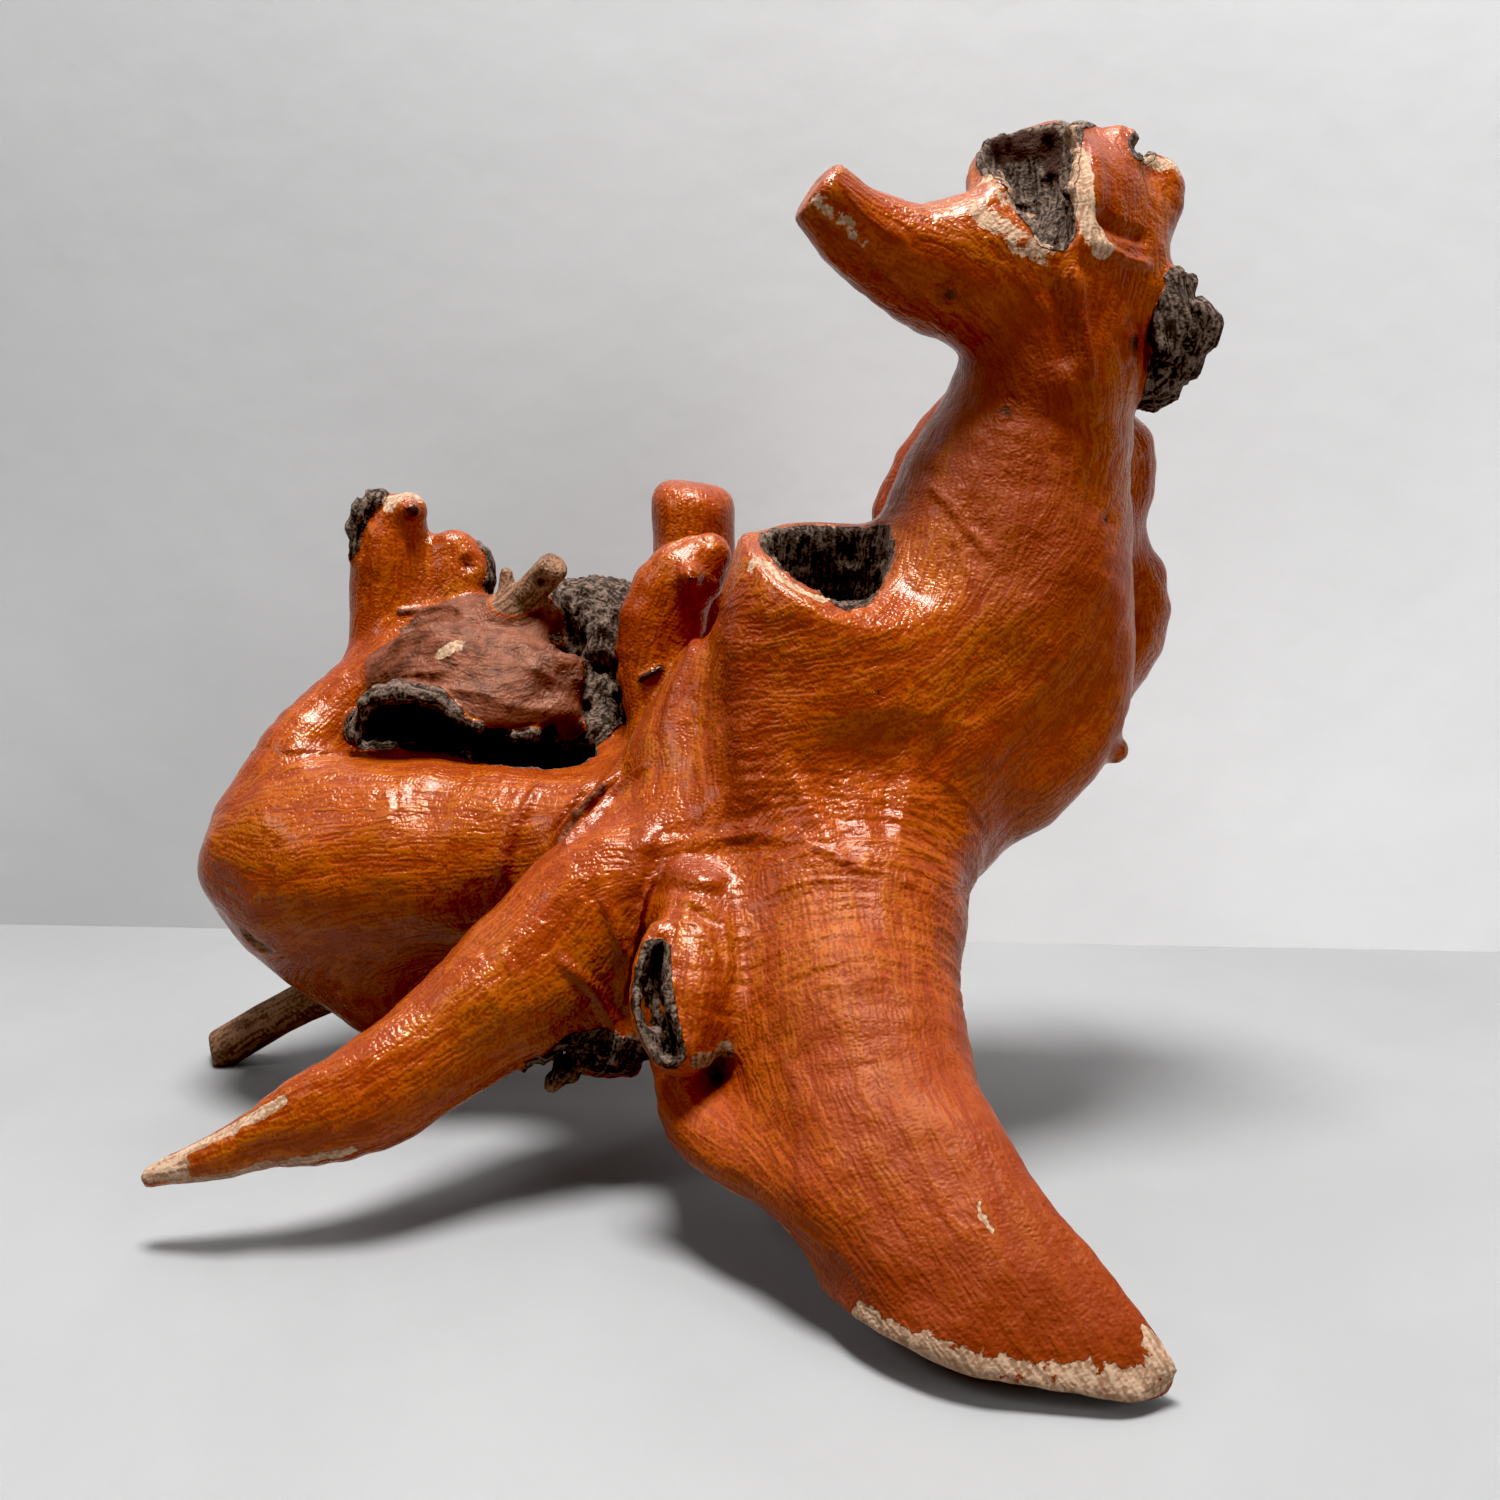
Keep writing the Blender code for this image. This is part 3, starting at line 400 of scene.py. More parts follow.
# Smooth lattice noise from -1 to 1: a hashed value at each corner of a cell, eased between the corners
def crumb(places, size, stretch=(1.0, 1.0, 1.0)):
    scaled = (places / (size * np.array(stretch, np.float32))).astype(np.float32)
    cell = np.floor(scaled).astype(np.int64)
    part = scaled - cell
    part = (part * part * (3 - 2 * part)).astype(np.float32)
    total = np.zeros(len(places), np.float32)
    for corner in np.ndindex(2, 2, 2):
        at = cell + corner
        mixed = at[:, 0] * 73856093 ^ at[:, 1] * 19349663 ^ at[:, 2] * 83492791
        mixed = (mixed ^ (mixed >> 13)) * 1274126177
        value = ((mixed ^ (mixed >> 16)) & 0xFFFF).astype(np.float32) / 32767.5 - 1
        total += value * np.prod(np.where(corner, part, 1 - part), axis=1)
    return total


# Eases from 0 at the first value to 1 at the second
def eased(low, high, value):
    t = np.clip((value - low) / (high - low), 0, 1)
    return t * t * (3 - 2 * t)


def nearBox(places, route, room):
    stations = np.array(route, np.float32)[:, :3]
    return ((places > stations.min(0) - room) & (places < stations.max(0) + room)).all(1)


# Distance to one limb, with its saw cut and its uneven skin
def limbDistance(places, name):
    limb = limbs[name]
    distance = tubeDistance(places, limb["route"], limb.get("flat", (0.0, 1.0, 0.0)))
    for cut in sawCuts.get(name, []):
        normal = np.array(cut["normal"], np.float32)
        normal /= np.linalg.norm(normal)
        past = (places - np.array(cut["point"], np.float32)) @ normal
        distance = takenOut(distance, -past, cut.get("edge", sawnEdge))
    if "rough" in limb:
        height, size = limb["rough"]
        distance += height * (crumb(places, size) + 0.5 * crumb(places, size / 2.3))
    return distance


# Distance from each place to the whole root, in centimetres: limbs blended in turn, hollows taken out,
# rot's relief added, and all below the level of the sawn feet cut off
def rootDistance(places):
    places = places.astype(np.float32)
    whole = np.full(len(places), farAway, np.float32)
    for name, limb in limbs.items():
        room = np.array(limb["route"])[:, 3:].max() + limb["blend"] + 2 * surfaceGrid["coarseCell"]
        near = nearBox(places, limb["route"], room)
        whole[near] = blended(whole[near], limbDistance(places[near], name), limb["blend"])
    for hollow in hollows.values():
        room = np.array(hollow["route"])[:, 3:].max() + 2 * surfaceGrid["coarseCell"]
        near = nearBox(places, hollow["route"], room)
        distance = tubeDistance(places[near], hollow["route"], hollow.get("flat", (0.0, 1.0, 0.0)))
        if "rough" in hollow:
            height, size = hollow["rough"]
            distance += height * (crumb(places[near], size) + 0.5 * crumb(places[near], size / 2.3))
        whole[near] = takenOut(whole[near], distance, hollow["blend"])
    for centre, radius, relief in rottedSpots:
        away = np.linalg.norm(places - np.array(centre, np.float32), axis=1)
        near = away < radius
        fade = np.minimum(1, 2 * (1 - (away[near] / radius) ** 2))
        rough = crumb(places[near], crumbSize) + 0.5 * crumb(places[near], crumbSize / 2)
        whole[near] += relief * fade * rough
    return np.maximum(whole, -places[:, 2])


# Works a measure out for many places, a share of them on each core
def inParts(measure, places, count=8):
    with ThreadPoolExecutor(4) as cores:
        return np.concatenate(list(cores.map(measure, np.array_split(places, count))))


# The centres of a box of cells, as rows
def cellCentres(low, counts, cell):
    axes = [low[k] + cell * (np.arange(counts[k]) + 0.5) for k in range(3)]
    return np.stack(np.meshgrid(*axes, indexing="ij"), -1).reshape(-1, 3)


# Splits every cell, and works the distance out again in those that the surface passes
def splitCells(field, low, cell):
    n = surfaceGrid["split"]
    sides = [size for length in field.shape for size in (length, n)]
    split = np.broadcast_to(field[:, None, :, None, :, None], sides).reshape([n * s for s in field.shape])
    passed = np.argwhere(np.abs(field) < surfaceGrid["near"] * cell)
    wanted = (passed[:, None] * n + np.array(list(np.ndindex(n, n, n)))).reshape(-1, 3)
    split[tuple(wanted.T)] = inParts(rootDistance, low + cell / n * (wanted + 0.5))
    return split


# The largest shell alone, without the crumbs that rot leaves hanging free of it
def largestShell(points, quads):
    shell = np.arange(len(points))
    while True:
        lowest = shell.copy()
        np.minimum.at(lowest, quads.ravel(), np.repeat(shell[quads].min(1), 4))
        lowest = lowest[lowest]
        if (lowest == shell).all():
            break
        shell = lowest
    mine = shell == np.bincount(shell).argmax()
    renumbered = np.cumsum(mine) - 1
    return points[mine], renumbered[quads[mine[quads[:, 0]]]]


# The surface as points in centimetres and quads that face into the wood, on a grid that is split where it matters
def rootSurface():
    stations = np.vstack([limb["route"] for limb in limbs.values()])
    low = stations[:, :3].min(0) - surfaceGrid["margin"]
    cell = surfaceGrid["coarseCell"]
    counts = np.ceil((stations[:, :3].max(0) + surfaceGrid["margin"] - low) / cell).astype(int)
    field = inParts(rootDistance, cellCentres(low, counts, cell)).reshape(counts)
    for _ in range(2):
        field = splitCells(field, low, cell)
        cell /= surfaceGrid["split"]
    grid = openvdb.FloatGrid()
    grid.background = float(4 * cell)
    grid.copyFromArray(np.clip(field, -4 * cell, 4 * cell))
    points, quads = grid.convertToQuads(isovalue=0.0)
    return largestShell((low + cell * (points + 0.5)).astype(np.float32), quads[:, ::-1].astype(np.int64))


# Each point's normal, into the wood: the cross product of its quads' diagonals, added up and made one long
def pointNormals(points, quads):
    corners = points[quads]
    faces = np.cross(corners[:, 2] - corners[:, 0], corners[:, 3] - corners[:, 1])
    total = np.stack([np.bincount(quads.ravel(), np.repeat(faces[:, k], 4), len(points)) for k in range(3)], 1)
    return (total / np.maximum(np.linalg.norm(total, axis=1), 1e-9)[:, None]).astype(np.float32)

# Limbs whose skin isn't healthy lacquered wood
finishes = {
    "rot": ["rotWall", "darkKnot", "stumpFace", "archLip", "knotPlate"],
    "crust": ["shield", "shieldTongue", "bridge"],
    "dull": ["rearStub", "twig", "twigSpur", "clawLeft", "clawRight"],
    # Glaze darkens the lacquer; laid by the marks it is also painted shade
    "glazeAndShade": ["neckFlange", "backMass"],
}

# Marks that the photograph shows, placed by its pixels and laid on the surface there: a line or a spot, its
# half width and its lift in centimetres (above 0 into the wood), and the finish that it is painted with
# Glaze painted by the marks is painted shade in the folds, creases, cracks and valleys they follow, and over
# darkened parts of the neck, foot and crest
marks = {
    "headSeam": dict(seen=[(1066, 262), (1074, 300), (1084, 335), (1090, 365)], width=0.24, lift=-0.09),
    "headRidge": dict(seen=[(1082, 262), (1092, 300), (1100, 330)], width=0.4, lift=0.04),
    "hornCrackLong": dict(seen=[(815, 215), (845, 238), (880, 272), (912, 305)], width=0.12, lift=-0.1,
                          paint="glazeAndShade"),
    "hornCrackShort": dict(seen=[(805, 196), (830, 222), (850, 250)], width=0.1, lift=-0.07),
    "chestCrease": dict(seen=[(925, 768), (945, 780), (965, 800), (985, 830)], width=0.16, lift=-0.06,
                        paint="glazeAndShade"),
    "stubCrack": dict(seen=[(655, 878), (645, 905), (634, 935), (627, 965), (622, 1000)], width=0.25,
                      lift=-0.3, paint="glazeAndShade"),
    "foldNear": dict(seen=[(648, 765), (615, 795), (590, 822), (562, 850)], width=0.3, lift=-0.32, paint="glazeAndShade"),
    "foldNext": dict(seen=[(620, 775), (592, 800), (572, 820), (556, 845)], width=0.24, lift=-0.28,
                     paint="glazeAndShade"),
    "foldRidge": dict(seen=[(632, 772), (604, 798), (580, 822)], width=0.22, lift=0.22),
    "foldFar": dict(seen=[(596, 783), (574, 805), (556, 828)], width=0.22, lift=-0.26, paint="glazeAndShade"),
    "foldPale": dict(seen=[(605, 790), (582, 812), (560, 842)], width=0.16, lift=0.16, paint="crust"),
    "waistFold": dict(seen=[(600, 846), (650, 848), (700, 842), (750, 832), (800, 838)], width=0.5, lift=-0.14),
    "waistHollow": dict(seen=[(668, 872), (700, 880), (722, 892)], width=1.0, lift=-0.35, paint="glazeAndShade"),
    "waistLine": dict(seen=[(800, 838), (850, 862), (905, 880), (960, 888)], width=0.22, lift=-0.1),
    "flankValley": dict(seen=[(738, 615), (742, 660), (745, 710), (748, 770), (750, 815)], width=1.3, lift=-0.32,
                        paint="glazeAndShade"),
    "flankRidge": dict(seen=[(716, 600), (706, 660), (700, 720), (692, 780)], width=1.0, lift=0.2),
    "chestBulge": dict(seen=[(810, 805), (860, 775), (910, 790)], width=3.3, lift=0.6),
    "chestUpper": dict(seen=[(850, 755), (900, 750), (950, 765)], width=1.8, lift=0.35),
    "kneeBulge": dict(seen=[(790, 905), (900, 915)], width=2.2, lift=0.3),
    "neckFold": dict(seen=[(925, 480), (945, 500), (970, 530), (1000, 562)], width=0.3, lift=-0.1, paint="glazeAndShade"),
    "neckFoldLow": dict(seen=[(950, 530), (962, 555), (975, 585)], width=0.25, lift=-0.08),
    "neckCrease": dict(seen=[(1000, 465), (1030, 475), (1060, 480)], width=0.2, lift=-0.05, paint="glazeAndShade"),
    "thighCrease": dict(seen=[(540, 790), (518, 822), (506, 850), (500, 885)], width=0.35, lift=-0.22,
                        paint="glazeAndShade"),
    "thighRing": dict(seen=[(372, 762), (386, 790), (392, 825), (388, 860)], width=0.18, lift=-0.08),
    "thighRingFar": dict(seen=[(396, 765), (403, 795), (402, 830)], width=0.15, lift=-0.06),
    "thighWrinkle": dict(seen=[(520, 790), (512, 810), (512, 835)], width=0.18, lift=-0.08),
    "legScar": dict(seen=[(505, 945), (520, 965), (532, 992), (545, 1022)], width=0.16, lift=0.08),
    "legScarUnder": dict(seen=[(498, 950), (512, 972), (525, 1000)], width=0.16, lift=-0.08),
    "legWrinkle": dict(seen=[(470, 975), (490, 995), (505, 1020)], width=0.18, lift=-0.07),
    "stubCollarOuter": dict(seen=[(668, 905), (700, 903), (722, 922), (730, 955), (728, 985)], width=0.25,
                            lift=-0.12),
    "stubCollarInner": dict(seen=[(672, 925), (698, 925), (712, 948), (716, 978)], width=0.2, lift=-0.1),
    "stubCollarRoll": dict(seen=[(670, 914), (700, 913), (718, 935), (723, 970)], width=0.2, lift=0.1),
    "hipFold": dict(seen=[(560, 960), (590, 985), (610, 1015), (622, 1045)], width=0.35, lift=-0.24,
                    paint="glazeAndShade"),
    "hipFoldNext": dict(seen=[(602, 900), (614, 930), (624, 960)], width=0.22, lift=-0.2, paint="glazeAndShade"),
    "hipRidge": dict(seen=[(590, 880), (600, 930), (606, 975)], width=0.5, lift=0.16),
    "hipValley": dict(seen=[(655, 825), (640, 860), (632, 900)], width=0.7, lift=-0.22, paint="glazeAndShade"),
    # Painted shade: knot-black laid along the ear's slit
    "earSlitShade": dict(seen=[(640, 680), (652, 673), (662, 668)], width=0.2, lift=-0.22, paint="dark"),
    "earCrease": dict(seen=[(700, 615), (690, 650), (676, 690), (665, 730)], width=0.35, lift=-0.15,
                      paint="glazeAndShade"),
    "earKnobRim": dict(seen=[(668, 552), (690, 540), (712, 545)], width=0.3, lift=0.12),
    "armCrease": dict(seen=[(248, 752), (290, 750), (340, 752)], width=0.25, lift=-0.15, paint="glazeAndShade"),
    "footGrowthLine": dict(seen=[(772, 1040), (795, 1085), (800, 1140), (802, 1200)], width=0.3, lift=-0.05,
                           paint="glazeAndShade"),
    "footRim": dict(seen=[(856, 1338), (885, 1352), (930, 1367), (985, 1378), (1045, 1387), (1110, 1391),
                          (1150, 1385), (1172, 1370)], width=1.05, paint="bare", strength=0.8),
    "footHeel": dict(seen=[(1150, 1335), (1165, 1355), (1176, 1370)], width=0.4, paint="bare"),
    "footChip": dict(seen=[(978, 1208), (984, 1222), (992, 1232)], width=0.14, paint="bare", lift=-0.03),
    "footSpots": dict(seen=[(868, 1318), (884, 1330), (905, 1345)], width=0.3, paint="bare"),
    "footSideRim": dict(seen=[(686, 1165), (745, 1200), (790, 1230)], width=0.14, paint="bare"),
    "legTip": dict(seen=[(152, 1170), (165, 1168), (178, 1166)], width=0.7, paint="bare"),
    "legUpperEdge": dict(seen=[(178, 1155), (205, 1140), (235, 1126), (262, 1112), (280, 1102)], width=0.33,
                         paint="bare"),
    "legLowerEdge": dict(seen=[(175, 1182), (220, 1178), (270, 1169), (320, 1157), (350, 1150)], width=0.3,
                         paint="bare"),
    "collarFrontRim": dict(seen=[(750, 570), (757, 560), (768, 565), (785, 580), (803, 591), (822, 600),
                                 (846, 604)], width=0.26, paint="bare", lift=0.05),
    "headRidgeBare": dict(seen=[(1073, 140), (1078, 165), (1083, 195), (1090, 222), (1100, 248)], width=0.62,
                          paint="bare", lift=0.06),
    "headErodedLow": dict(seen=[(978, 212), (1000, 230), (1022, 242), (1042, 252)], width=0.75, paint="bare",
                          lift=-0.1, strength=0.62),
    "headErodedSide": dict(seen=[(985, 180), (1005, 200), (1025, 222)], width=0.75, paint="bare", lift=-0.08,
                           strength=0.55),
    "crestEdge": dict(seen=[(1150, 162), (1170, 160), (1186, 166)], width=0.4, paint="bare"),
    "crestTop": dict(seen=[(1108, 122), (1118, 123)], width=0.22, paint="bare"),
    "stumpTop": dict(seen=[(392, 500), (404, 492), (416, 494)], width=0.75, paint="bare"),
    "shieldChip": dict(seen=[(446, 654), (452, 650), (460, 646)], width=0.36, paint="bare", lift=-0.05),
    "shieldChipLow": dict(seen=[(440, 655), (436, 659)], width=0.2, paint="bare"),
    "lobeFace": dict(seen=[(486, 545), (490, 565), (487, 588)], width=0.5, paint="rot", lift=-0.1),
    "foldGreyUpper": dict(seen=[(678, 890), (698, 893), (716, 898)], width=0.28, lift=0.14),
    "foldGreyMiddle": dict(seen=[(672, 906), (696, 912), (718, 924)], width=0.28, lift=0.14),
    "foldGreyLower": dict(seen=[(704, 942), (714, 960), (718, 976)], width=0.28, lift=0.14),
    "stubLip": dict(seen=[(668, 985), (682, 1015), (690, 1045)], width=0.4, lift=0.12),
    "footWorn": dict(seen=[(1080, 1340), (980, 1260), (900, 1150), (880, 1040), (870, 1000)], width=5.4,
                     paint="worn"),
    "footSideWorn": dict(seen=[(700, 1100), (740, 1120), (800, 1200)], width=3.4, paint="worn"),
    # Painted shade: knot-black along the head hollow's top
    "headHollowTopShade": dict(seen=[(1000, 152), (1025, 145), (1050, 142), (1056, 165)], width=0.75, paint="dark"),
    "headScar": dict(seen=[(1072, 262), (1080, 300), (1085, 340), (1090, 385)], width=0.32, lift=-0.26),
    "headScarRidge": dict(seen=[(1050, 275), (1060, 320), (1066, 370)], width=0.5, lift=0.26),
    "headBrowFold": dict(seen=[(1098, 212), (1120, 232), (1150, 238)], width=0.5, lift=0.3),
    "headBrowGroove": dict(seen=[(1095, 240), (1120, 260), (1150, 266)], width=0.35, lift=-0.28),
    "hornWornUpper": dict(seen=[(815, 196), (835, 212), (862, 240)], width=0.5, paint="bare", strength=0.53),
    "hornLine": dict(seen=[(838, 178), (862, 212), (900, 240)], width=0.26, lift=-0.06, paint="glazeAndShade"),
    # Painted shadow and shade: glaze over the neck under the horn and head, over the foot's low part, right side and
    # middle, and over the crest's front
    "neckShade": dict(seen=[(932, 395), (925, 440), (905, 490)], width=2.0, paint="glazeAndShade"),
    "footPaintedShade": dict(seen=[(880, 1300), (960, 1320), (1040, 1335), (1120, 1340)], width=2.6, paint="glazeAndShade",
                     strength=0.8),
    "footSidePaintedShade": dict(seen=[(1000, 1150), (1060, 1240), (1110, 1310)], width=1.6, paint="glazeAndShade", strength=0.7),
    "neckPaintedShadow": dict(seen=[(1010, 400), (1010, 480), (1040, 540)], width=3.0, paint="glazeAndShade", strength=0.75),
    "footMidPaintedShade": dict(seen=[(880, 1040), (910, 1120), (960, 1220)], width=3.2, paint="glazeAndShade", strength=0.5),
    "crestPaintedShade": dict(seen=[(1100, 150), (1120, 190), (1130, 230)], width=1.8, paint="glazeAndShade", strength=0.6),
    "stubInside": dict(seen=[(650, 972), (653, 1000), (660, 1030)], width=0.5, paint="rot"),
    "neckWorn": dict(seen=[(1020, 420), (1020, 480), (1050, 560), (1080, 680)], width=3.2, paint="worn"),
    "crustRidge": dict(seen=[(385, 668), (405, 650), (430, 640), (455, 640)], width=0.35, lift=0.16,
                       paint="crust"),
    "crustGroove": dict(seen=[(388, 655), (410, 640), (440, 628)], width=0.3, lift=-0.16, paint="crust"),
    "crustFold": dict(seen=[(400, 612), (440, 608), (470, 612)], width=0.25, lift=-0.1, paint="crust"),
    "crustFoldNext": dict(seen=[(405, 628), (440, 620), (465, 628)], width=0.2, lift=0.08, paint="crust"),
    "stubPatch": dict(seen=[(700, 1062), (715, 1060), (724, 1050)], width=0.5, paint="dull"),
    "clawRot": dict(seen=[(545, 1060), (575, 1045), (605, 1050), (635, 1060)], width=1.3, paint="rot"),
    "shinSpur": dict(seen=[(244, 934), (254, 944), (266, 950)], width=0.45, lift=0.28, paint="dull"),
}

# Knots: where the grain turns round them, their radius, their lift (into the wood) and how dark they are
knots = {
    "horn": dict(seen=(950, 293), radius=0.42, lift=0.02, dark=0.9),
    "neck": dict(seen=(1005, 410), radius=0.4, lift=0.03, dark=0.7),
    "cheek": dict(seen=(1132, 345), radius=0.65, lift=-0.03, dark=0.8),
    "back": dict(seen=(1108, 520), radius=0.2, lift=0.12, dark=0.9),
    "ear": dict(seen=(690, 578), radius=0.13, lift=-0.05, dark=0.9),
    "stumpHole": dict(seen=(412, 510), radius=0.36, lift=-0.3, dark=1.0),
    "lobe": dict(seen=(468, 564), radius=0.3, lift=0.34, dark=0.6),
    "twig": dict(seen=(540, 584), radius=0.34, lift=0.2, dark=0.8),
    "chest": dict(seen=(878, 692), radius=0.14, lift=0.0, dark=0.8),
    "shieldEye": dict(seen=(584, 641), radius=0.25, lift=0.12, dark=0.8),
}

# Wrinkles that ring a limb: the share of its route that they cover, their spacing and depth in centimetres
ringWrinkles = {
    "knee": dict(limb="trunk", cover=(0.26, 0.5), spacing=0.4, depth=0.075, waver=0.3),
    "kneeBroad": dict(limb="trunk", cover=(0.2, 0.42), spacing=1.15, depth=0.06, waver=0.3),
    "neck": dict(limb="trunk", cover=(0.7, 0.84), spacing=0.5, depth=0.03, waver=0.5),
    "leftLeg": dict(limb="leftLeg", cover=(0.05, 0.42), spacing=0.55, depth=0.035, waver=0.5),
    "thigh": dict(limb="thigh", cover=(0.0, 0.45), spacing=0.6, depth=0.04, waver=0.6),
    "stub": dict(limb="centreStub", cover=(0.2, 0.95), spacing=0.4, depth=0.035, waver=0.4),
}

# Lumps of the healthy wood: size and height in centimetres
lumps = [(3.4, 0.2), (1.7, 0.11), (0.8, 0.04)]

# Where the photograph shows the grain leaving a limb's own run: lines that it follows, by their pixels
grainGuides = {
    "underCollar": [(728, 640), (770, 652), (840, 655), (900, 640), (930, 610)],
    "torsoRising": [(750, 700), (860, 708), (940, 675), (1000, 630), (1050, 590), (1090, 540), (1108, 470)],
    "torsoRight": [(900, 765), (980, 720), (1040, 680), (1090, 620), (1122, 560)],
    "collarRight": [(905, 600), (915, 560), (925, 510), (940, 450)],
    "neckMiddle": [(985, 570), (985, 520), (992, 460), (1002, 400)],
    "chestArch": [(790, 815), (830, 795), (862, 790), (900, 805), (950, 845)],
    "waist": [(600, 845), (660, 850), (740, 840), (800, 815)],
    "torsoLeft": [(700, 800), (690, 720), (702, 640), (722, 580)],
    "kneeLeft": [(785, 1010), (775, 940), (765, 890), (755, 840)],
    "hornUpper": [(1080, 420), (1050, 350), (1000, 300), (940, 265), (880, 245), (820, 200)],
    "hornLower": [(995, 425), (972, 365), (930, 320), (860, 280), (810, 225)],
    "headRight": [(1100, 400), (1098, 340), (1110, 280), (1122, 220), (1112, 160)],
}
guideWidth = 2.6

eye = np.array(viewpoint["place"]) / drawing["unit"] - drawing["centring"]


# Where the camera's line through a pixel meets the surface, or where it passes nearest to it
def seenPlace(tree, pixel):
    half = viewpoint["picture"] / 2
    focal = viewpoint["picture"] * viewpoint["lens"] / viewpoint["sensor"]
    turn = Matrix.Rotation(math.pi / 2 - math.radians(viewpoint["tip"]), 3, "X")
    ray = (turn @ Vector((pixel[0] - half, half - pixel[1], -focal))).normalized()
    hit = tree.ray_cast(Vector(eye), ray)[0]
    if hit is None:
        along = [tree.find_nearest(Vector(eye) + ray * step) for step in np.arange(38.0, 90.0, 0.5)]
        hit = min(along, key=lambda found: found[3])[0]
    return np.array(hit, np.float32)


# Distance from each place to a line of points, and the share of the line's length at the nearest point
def lineDistance(places, line):
    line = np.array(line, np.float32)
    if len(line) == 1:
        return np.linalg.norm(places - line[0], axis=1), np.full(len(places), 0.5, np.float32)
    lengths = np.linalg.norm(np.diff(line, axis=0), axis=1)
    nearest = np.full(len(places), farAway, np.float32)
    share = np.zeros(len(places), np.float32)
    passed = 0.0
    for start, finish, length in zip(line, line[1:], lengths):
        part, off = alongStretch(places, start, finish)
        away = np.linalg.norm(off, axis=1)
        closer = away < nearest
        nearest[closer] = away[closer]
        share[closer] = (passed + part[closer] * length) / lengths.sum()
        passed += length
    return nearest, share


# A hump one high and flat at its foot: (1 - (d / w)^2)^2 within the width w
def hump(distance, width):
    return np.clip(1 - (distance / width) ** 2, 0, 1) ** 2


# For each place, every limb's distance and the direction that the limb runs in there
def limbFlow(places):
    towards = np.array((0.6, 0.1, 0.8))  # all limbs' grain is read towards the head, so that it joins up
    distances = np.full((len(places), len(limbs)), farAway, np.float32)
    grain = np.zeros((len(places), 3), np.float32)
    for column, (name, limb) in enumerate(limbs.items()):
        near = nearBox(places, limb["route"], np.array(limb["route"])[:, 3:].max() + 2.5)
        distances[near, column] = limbDistance(places[near], name)
        stations = smoothRoute(limb["route"])[:, :3]
        sign = 1.0 if (stations[-1] - stations[0]) @ towards >= 0 else -1.0
        weight = np.exp(-np.maximum(distances[near, column], 0) / 0.6)
        share = np.full(len(weight), farAway, np.float32)
        along = np.zeros((len(weight), 3), np.float32)
        for start, finish in zip(stations, stations[1:]):
            away = np.linalg.norm(alongStretch(places[near], start, finish)[1], axis=1)
            closer = away < share
            share[closer] = away[closer]
            along[closer] = sign * (finish - start) / np.linalg.norm(finish - start)
        grain[near] += weight[:, None] * along
    return np.hstack([distances, grain])


# Turns the grain towards each guide's own direction, the more so the nearer it is
def guidedGrain(points, grain, seen):
    for name in grainGuides:
        near = nearBox(points, seen[name], guideWidth)
        line = seen[name]
        away = lineDistance(points[near], line)[0]
        nearest = np.full(len(away), farAway, np.float32)
        along = np.zeros((len(away), 3), np.float32)
        for start, finish in zip(line, line[1:]):
            gap = np.linalg.norm(alongStretch(points[near], start, finish)[1], axis=1)
            closer = gap < nearest
            nearest[closer] = gap[closer]
            along[closer] = (finish - start) / np.linalg.norm(finish - start)
        grain[near] += 5 * hump(away, guideWidth)[:, None] * along
    return grain


# Turns the grain round each knot as a stream turns round a post: with g the grain and r the place from the
# knot, both in the surface, g - a^2 (2 (g.r) r - r^2 g) / r^4 for a knot of radius a
def turnedGrain(points, normals, grain, knotPlaces):
    grain = grain - (grain * normals).sum(1)[:, None] * normals
    grain /= np.maximum(np.linalg.norm(grain, axis=1), 1e-6)[:, None]
    for name, knot in knots.items():
        away = points - knotPlaces[name]
        near = (away**2).sum(1) < (5 * knot["radius"]) ** 2
        r = away[near] - (away[near] * normals[near]).sum(1)[:, None] * normals[near]
        square = np.maximum((r**2).sum(1), knot["radius"] ** 2)[:, None]
        g = grain[near]
        bent = g - knot["radius"] ** 2 * (2 * (g * r).sum(1)[:, None] * r - square * g) / square**2
        grain[near] = bent / np.maximum(np.linalg.norm(bent, axis=1), 1e-6)[:, None]
    return grain


# How much each finish shows at each point: where its own limb is nearer than every other limb
def finishShares(points, distances):
    names = list(limbs)
    shares = {}
    for finish, own in finishes.items():
        mine = np.array([name in own for name in names])
        gap = distances[:, ~mine].min(1) - distances[:, mine].min(1)
        shares[finish] = eased(-0.25, 0.35, gap)
    for name, hollow in hollows.items():
        near = nearBox(points, hollow["route"], np.array(hollow["route"])[:, 3:].max() + 1)
        inside = tubeDistance(points[near], hollow["route"])
        shares["rot"][near] = np.maximum(shares["rot"][near], 1 - eased(0.05, 0.4, inside))
    for centre, radius, relief in rottedSpots:
        if relief >= 0.2:
            away = np.linalg.norm(points - np.array(centre, np.float32), axis=1)
            shares["rot"] = np.maximum(shares["rot"], 0.45 * (1 - eased(0.7, 1.0, away / radius)))
    for name in ("bare", "dark", "worn"):
        shares[name] = np.zeros(len(points), np.float32)
    return shares


